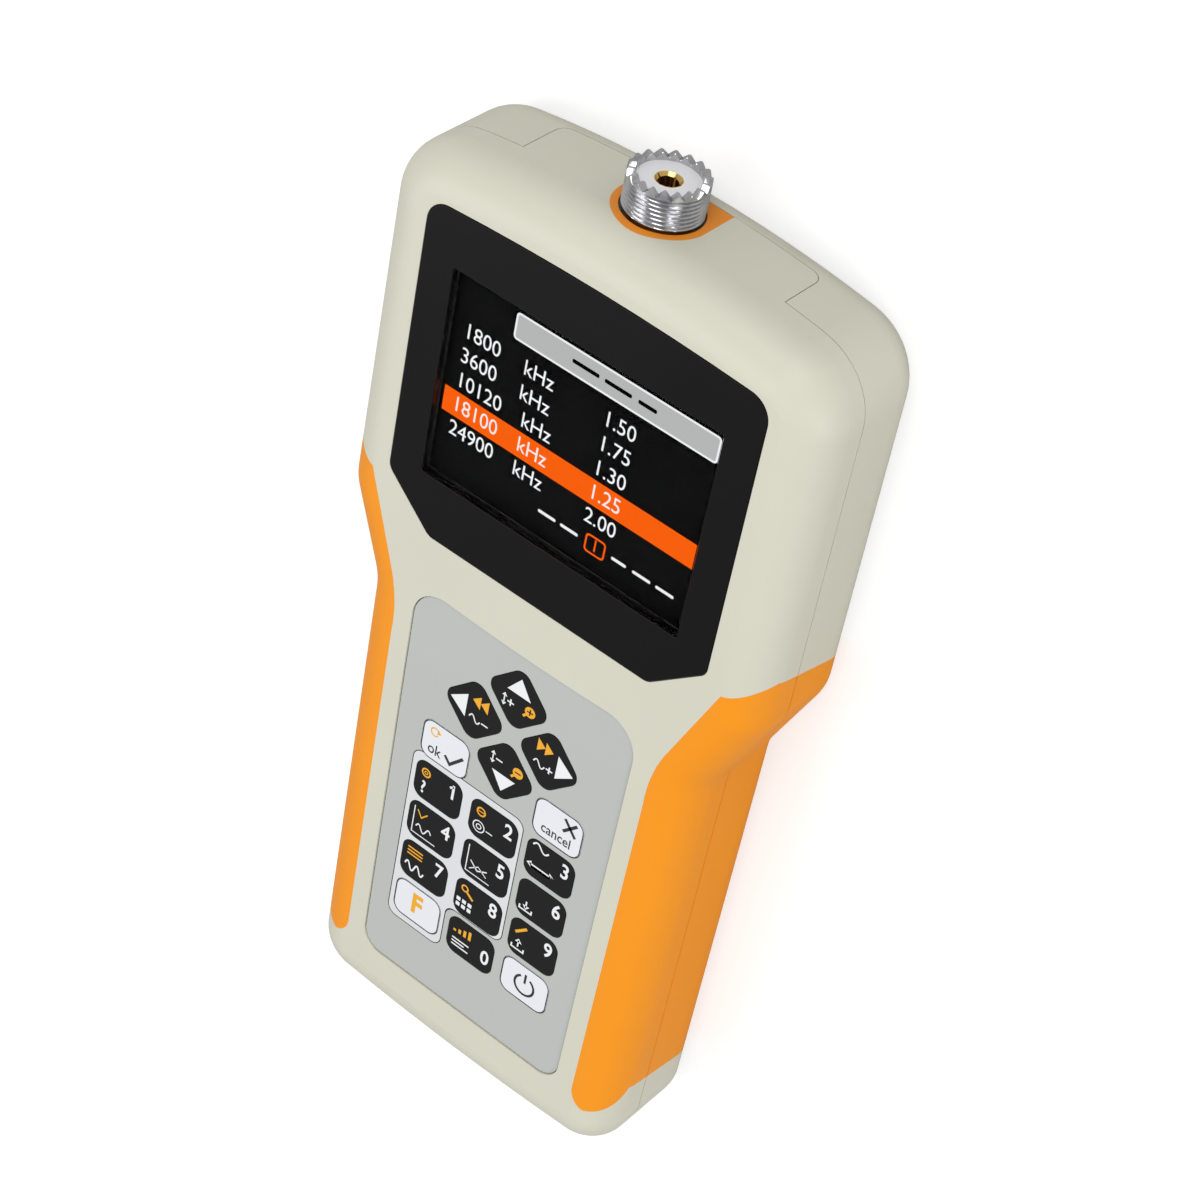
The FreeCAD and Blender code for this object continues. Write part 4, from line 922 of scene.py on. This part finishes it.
def buildField():
    # the pale field round the digit keys with its outline, and a thin line round each white key
    look = keypadLook
    top = nodeBox("keypad_overlay")[1].z
    left, stepX, right = look["fieldX"]
    low, stepY, high = look["fieldY"]
    corners = [(left, low), (stepX, low), (stepX, stepY), (right, stepY), (right, high), (left, high)]
    inward = [(1, 1), (-1, 1), (-1, 1), (-1, 1), (-1, -1), (1, -1)]
    radius, inset = look["fieldCorner"], look["lineWidth"]
    outer = roundedLoop(corners, [radius] * 6)
    innerCorners = [(x + inset * a, y + inset * b) for (x, y), (a, b) in zip(corners, inward)]
    inner = roundedLoop(innerCorners, [radius - inset] * 6)
    wide, tall, corner, gap = look["keyWidth"], look["keyHeight"], look["keyCorner"], look["keyGap"]
    holes = [
        roundedBox(*keyPlace(column, row), wide + gap, tall + gap, corner + gap / 2)
        for column, row in ((-1, 0), (0, 0), (-1, 1), (0, 1), (-1, 2), (0, 2), (-1, 3))
    ]
    flatShape("fieldLine", [outer, inner], inkBlack, top + 2 * look["layer"])
    flatShape("fieldPrint", [inner] + holes, inkPale, top + look["layer"])
    line = look["keyLine"]
    for name, column, row in (("ok", -1, -1), ("cancel", 1, -1), ("function", -1, 3), ("power", 1, 3)):
        x, y = keyPlace(column, row)
        inside = roundedBox(x, y, wide - line, tall - line, corner - line / 2)
        ring = [roundedBox(x, y, wide, tall, corner), inside]
        flatShape(f"ring_{name}", ring, inkBlack, keyTop(f"key_{name}"), body=f"key_{name}")


def grown(loops, share, anchor):
    # the same loops, larger about an anchor
    ax, ay = anchor
    return [[(ax + (x - ax) * share, ay + (y - ay) * share) for x, y in loop] for loop in loops]


def mark(node, name, loops, ink):
    # a printed sign on a key, drawn from the key's centre
    look = keypadLook
    if name in look["growFrom"] and node not in ("key_4", "key_5"):
        loops = grown(loops, look["signGrowth"], look["growFrom"][name])
    flatShape(f"{node}_{name}", loops, ink, keyTop(node), body=node, place=keyCentre(node))


def letter(node, words, size, ink, offset, bold=0.05, narrow=0.86):
    x, y = keyCentre(node)
    signName = {"?": "query"}.get(words, words)
    textShape(
        f"{node}_{signName}", words, size, ink, keyTop(node), (x + offset[0], y + offset[1]),
        body=node, bold=bold, narrow=narrow,
    )


def ringLoops(x, y, radius, width=stroke):
    return [arcLoop(x, y, radius), arcLoop(x, y, radius - width)]


def waveLoop(x, y, length, height, turns=1.0, steps=20):
    points = [
        (x - length / 2 + length * i / steps, y + height / 2 * math.sin(math.tau * turns * i / steps))
        for i in range(steps + 1)
    ]
    return bandOf(points, stroke)


def trayLoops(x, y, up):
    # an arrow into or out of a tray
    tip = 1 if up else -1
    half, base = stroke / 2, y + 0.15
    head = [(x - 0.75, base + 0.25 * tip), (x + 0.75, base + 0.25 * tip), (x, base + 1.15 * tip)]
    return [
        bandOf([(x - 1.3, y - 0.5), (x - 1.3, y - 1.25), (x + 1.3, y - 1.25), (x + 1.3, y - 0.5)], stroke),
        [(x - half, y - 0.6), (x + half, y - 0.6), (x + half, y + 0.9), (x - half, y + 0.9)],
        head[::tip],
    ]


def barLoops(x, y, widths, gap=0.75):
    # short lines one above another, set flush left
    return [roundedBox(x + w / 2, y - gap * i, w, stroke, 0.1, 2) for i, w in enumerate(widths)]


def buildMarks():
    look = keypadLook
    amber, white, black = inkAmber, inkWhite, inkBlack
    left, high, low = look["signX"], look["signHigh"], look["signLow"]
    mark("key_1", "amber", ringLoops(left, high, 1.0) + ringLoops(left, high, 0.42, 0.2), amber)
    letter("key_1", "?", 4.8, white, (left, low), 0.08)
    bar = bandOf([(left - 0.6, high), (left + 0.6, high)], 0.22)
    mark("key_2", "amber", ringLoops(left, high, 1.0) + [bar], amber)
    dash = bandOf([(left + 1.6, low), (left + 3.0, low)], 0.24)
    mark("key_2", "white", ringLoops(left, low, 1.3, 0.22) + ringLoops(left, low, 0.6, 0.2) + [dash], white)
    mark("key_3", "white", [
        waveLoop(left + 0.6, high, 3.4, 1.4), bandOf([(left - 1.1, low), (left + 3.6, low)], stroke),
        [(left - 1.7, low), (left - 0.7, low - 0.7), (left - 0.7, low + 0.7)],
        [(left + 4.2, low), (left + 3.2, low + 0.7), (left + 3.2, low - 0.7)],
    ], white)
    axes = [bandOf([(-4.95, 3.6), (-4.95, -3.9), (1.7, -3.9)], 0.26)]
    mark("key_4", "axes", axes, white)
    mark("key_4", "amber", [bandOf([(-4.1, 3.0), (-2.9, 1.2), (-1.4, 3.0)], stroke)], amber)
    mark("key_4", "white", [waveLoop(-1.9, -1.8, 4.2, 1.8, 1.5)], white)
    mark("key_5", "axes", axes, white)
    mark("key_5", "white", [
        bandOf([(-4.0, -0.4), (-1.9, -2.3), (0.6, -0.9)], stroke),
        bandOf([(-4.0, -2.9), (-1.8, -1.0), (0.6, -2.6)], 0.24),
    ], white)
    mark("key_6", "white", trayLoops(left, low, False), white)
    mark("key_7", "amber", barLoops(left - 1.1, high + 0.8, (3.4, 3.4, 3.4)), amber)
    mark("key_7", "white", [waveLoop(left + 0.9, low, 4.2, 1.8, 2.0)], white)
    grip = bandOf([(left + 0.25, high - 0.25), (left + 1.7, high - 1.3)], 0.5)
    mark("key_8", "amber", ringLoops(left - 0.3, high + 0.3, 0.8) + [grip], amber)
    mark("key_8", "white", [
        roundedBox(left + 1.25 * a, low + 1.25 * b, 0.85, 0.85, 0.1, 2)
        for a in (-1, 0, 1) for b in (-0.5, 0.5)
    ], white)
    mark("key_9", "amber", [bandOf([(left - 1.0, high - 1.0), (left + 1.2, high + 1.1)], 0.55)], amber)
    mark("key_9", "white", trayLoops(left, low, True), white)
    mark("key_0", "amber", [
        roundedBox(left - 0.8 + 1.1 * i, high - 1.0 + (0.5 + 0.5 * i) / 2, 0.6, 0.5 + 0.5 * i, 0.05, 1)
        for i in range(4)
    ], amber)
    mark("key_0", "white", barLoops(left - 1.1, low + 0.8, (3.8, 2.8, 3.8)), white)
    for digit in "123456789":
        letter(f"key_{digit}", digit, look["digitSize"], white, look["digitPlace"], look["digitBold"])
    letter("key_0", "0", look["digitSize"], white, look["zeroPlace"], look["digitBold"])
    mark("key_1", "flag", [bandOf([(3.9, 3.45), (2.95, 2.75)], 0.55)], white)
    letter("key_ok", "ok", 4.0, black, (-2.7, -2.3), 0.03)
    mark("key_ok", "check", [bandOf([(0.2, -1.6), (1.7, -3.2), (4.9, 0.5)], 0.75)], black)
    turnBack = bandOf(arcLoop(-3.2, 2.5, 1.05, 0.6, 5.6, 16), 0.34)
    mark("key_ok", "again", [turnBack, [(-2.7, 2.2), (-1.5, 2.6), (-2.3, 3.5)]], amber)
    # two marks, since crossing loops in one curve cut each other out
    mark("key_cancel", "crossA", [bandOf([(1.3, 0.2), (4.5, 3.7)], 0.75)], black)
    mark("key_cancel", "crossB", [bandOf([(1.3, 3.7), (4.5, 0.2)], 0.75)], black)
    letter("key_cancel", "cancel", 3.7, black, (-0.1, -2.3), 0.03)
    letter("key_function", "F", 7.6, amber, (-0.2, 0.0), 0.28)
    power = arcLoop(0, -0.3, 2.6, math.radians(118), math.radians(422), 26)
    mark("key_power", "ring", [bandOf(power, 0.6), bandOf([(0, 0.3), (0, 3.0)], 0.6)], black)


# sizes of the print on the arrow keys in millimetres
arrowLook = {
    "half": 3.1, "length": 4.3, "startUp": 1.2, "startSide": 2.1, "signReach": 0.8, "signHalf": 0.17,
    "signGrowth": 1.1, "lens": 1.35, "handle": 0.6, "shaft": 0.3, "fastStep": 2.1,
}


def buildArrows():
    look = arrowLook
    amber, white = inkAmber, inkWhite
    arrows = (("key_up", 0, 1), ("key_down", 0, -1), ("key_left", -1, 0), ("key_right", 1, 0))
    for node, across, along in arrows:
        out = Vector((across, along))
        side = Vector((-along, across)) * look["half"]
        base = out * (look["startUp"] if along else look["startSide"])
        tip = base + out * look["length"]
        mark(node, "arrow", [[tuple(tip), tuple(base + side), tuple(base - side)]], white)
        reach, half = look["signReach"], look["signHalf"]
        rising = across + along > 0
        signShape = plusLoop(reach, half) if rising else roundedBox(0, 0, reach * 2, half * 2, 0.05, 1)
        if along:
            # a lens with the sign cut out of it, and a double arrow for the range
            x, y = 3.1, -1.5 * along
            lensX, lensY = x + 0.25, y + 0.3
            hole = [(lensX + px, lensY + py) for px, py in signShape]
            mark(node, "lens", [arcLoop(lensX, lensY, look["lens"]), hole], amber)
            mark(node, "handle", [bandOf([(x - 0.6, y - 0.7), (x - 1.35, y - 1.5)], look["handle"])], amber)
            signX, signY = -1.7, -1.9 * along
            shaft = bandOf([(signX - 1.7, signY - 0.9), (signX - 1.7, signY + 0.9)], look["shaft"])
            heads = [
                [(signX - 2.35, signY + 0.8 * d), (signX - 1.05, signY + 0.8 * d),
                 (signX - 1.7, signY + 1.7 * d)]
                for d in (1, -1)
            ]
            mark(node, "span", [shaft], white)
            mark(node, "spanHeads", heads, white)
        else:
            # two triangles one behind the other, and a wave for the frequency
            x, step = -1.3 * across, look["fastStep"]
            for i in range(2):
                point = x + across * (step - step * i)
                foot = point - step * across
                mark(node, f"fast{i}", [[(point, 2.7), (foot, 4.4), (foot, 1.0)]], amber)
            signX, signY = x + 1.8, -2.1
            mark(node, "wave", [waveLoop(signX - 2.7, signY, 2.9, 1.7)], white)
        grow = look["signGrowth"]
        mark(node, "sign", [[(signX + px * grow, signY + py * grow) for px, py in signShape]], white)


buildField()
buildMarks()
buildArrows()
print("keypad print built")

# camera at the photograph's angle, solved from points on the case, the keys and the display

cameraLook = {
    "position": (0.25975222, 0.42200441, 0.43312969),
    "right": (0.76382052, 0.16058187, -0.62513332),
    "down": (0.50501317, -0.75183126, 0.42392389),
    "ahead": (-0.40192028, -0.63950233, -0.6553601),
    "lens": 95.8026, "sensor": 36.0, "near": 0.01, "far": 20.0,
}


def addCamera():
    data = bpy.data.cameras.new("photoCamera")
    data.lens = cameraLook["lens"]
    data.sensor_width = cameraLook["sensor"]
    data.clip_start = cameraLook["near"]
    data.clip_end = cameraLook["far"]
    camera = linked("photoCamera", data)
    right = Vector(cameraLook["right"])
    up = -Vector(cameraLook["down"])
    back = -Vector(cameraLook["ahead"])
    turn = Matrix((right, up, back)).transposed().to_4x4()
    camera.matrix_world = Matrix.Translation(cameraLook["position"]) @ turn
    scene.camera = camera


addCamera()

# floor, world and lamps

studioLook = {
    "floorSize": 8, "floorDrop": 0.05 * mm, "floorColor": 0.55, "floorRough": 0.9, "floorSpecular": 0.1,
    "floorLift": 0.6, "worldStrength": 0.5,
    "lamps": [
        {"name": "keyLamp", "place": (-0.9, -0.3, 1.5), "size": 1.1, "power": 10.5},
        {"name": "endLamp", "place": (0.2, 1.5, 0.9), "size": 1.0, "power": 10.5},
        {"name": "sideLamp", "place": (1.5, -0.2, 0.7), "size": 0.9, "power": 9.5},
    ],
}


def cameraOnly(tree):
    # 1 for what the camera sees, also through a clear sheet
    path = nodeIn(tree, "ShaderNodeLightPath")
    return mathIn(tree, "MAXIMUM", path.outputs["Is Camera Ray"], path.outputs["Is Transmission Ray"])


def addStudio():
    look = studioLook
    bpy.ops.mesh.primitive_plane_add(size=look["floorSize"], location=(0, 0, -look["floorDrop"]))
    floor = bpy.context.object
    floor.name = "floor"
    material, tree, shader = newMaterial("paleFloor")
    shade = look["floorColor"]
    shader.inputs["Base Color"].default_value = (shade, shade, shade, 1)
    shader.inputs["Roughness"].default_value = look["floorRough"]
    shader.inputs["Specular IOR Level"].default_value = look["floorSpecular"]
    shader.inputs["Emission Color"].default_value = (1, 1, 1, 1)
    seenFloor = nodeIn(tree, "ShaderNodeLightPath").outputs["Is Camera Ray"]
    lift = mathIn(tree, "MULTIPLY", seenFloor, look["floorLift"])
    tree.links.new(lift, shader.inputs["Emission Strength"])
    floor.data.materials.append(material)
    world = bpy.data.worlds.new("studioWorld")
    scene.world = world
    world.use_nodes = True
    sky = world.node_tree
    background = sky.nodes["Background"]
    dimmed = look["worldStrength"]
    strength = mathIn(sky, "MULTIPLY_ADD", cameraOnly(sky), 1.0 - dimmed, dimmed)
    sky.links.new(strength, background.inputs["Strength"])
    background.inputs["Color"].default_value = (1, 1, 1, 1)
    for lampLook in look["lamps"]:
        data = bpy.data.lights.new(lampLook["name"], "AREA")
        data.shape = "DISK"
        data.size = lampLook["size"]
        data.energy = lampLook["power"]
        lamp = linked(lampLook["name"], data)
        lamp.location = lampLook["place"]
        lamp.rotation_euler = (-Vector(lampLook["place"])).to_track_quat("-Z", "Y").to_euler()


addStudio()
scene.view_settings.view_transform = "Standard"
print("camera, floor and lamps placed")
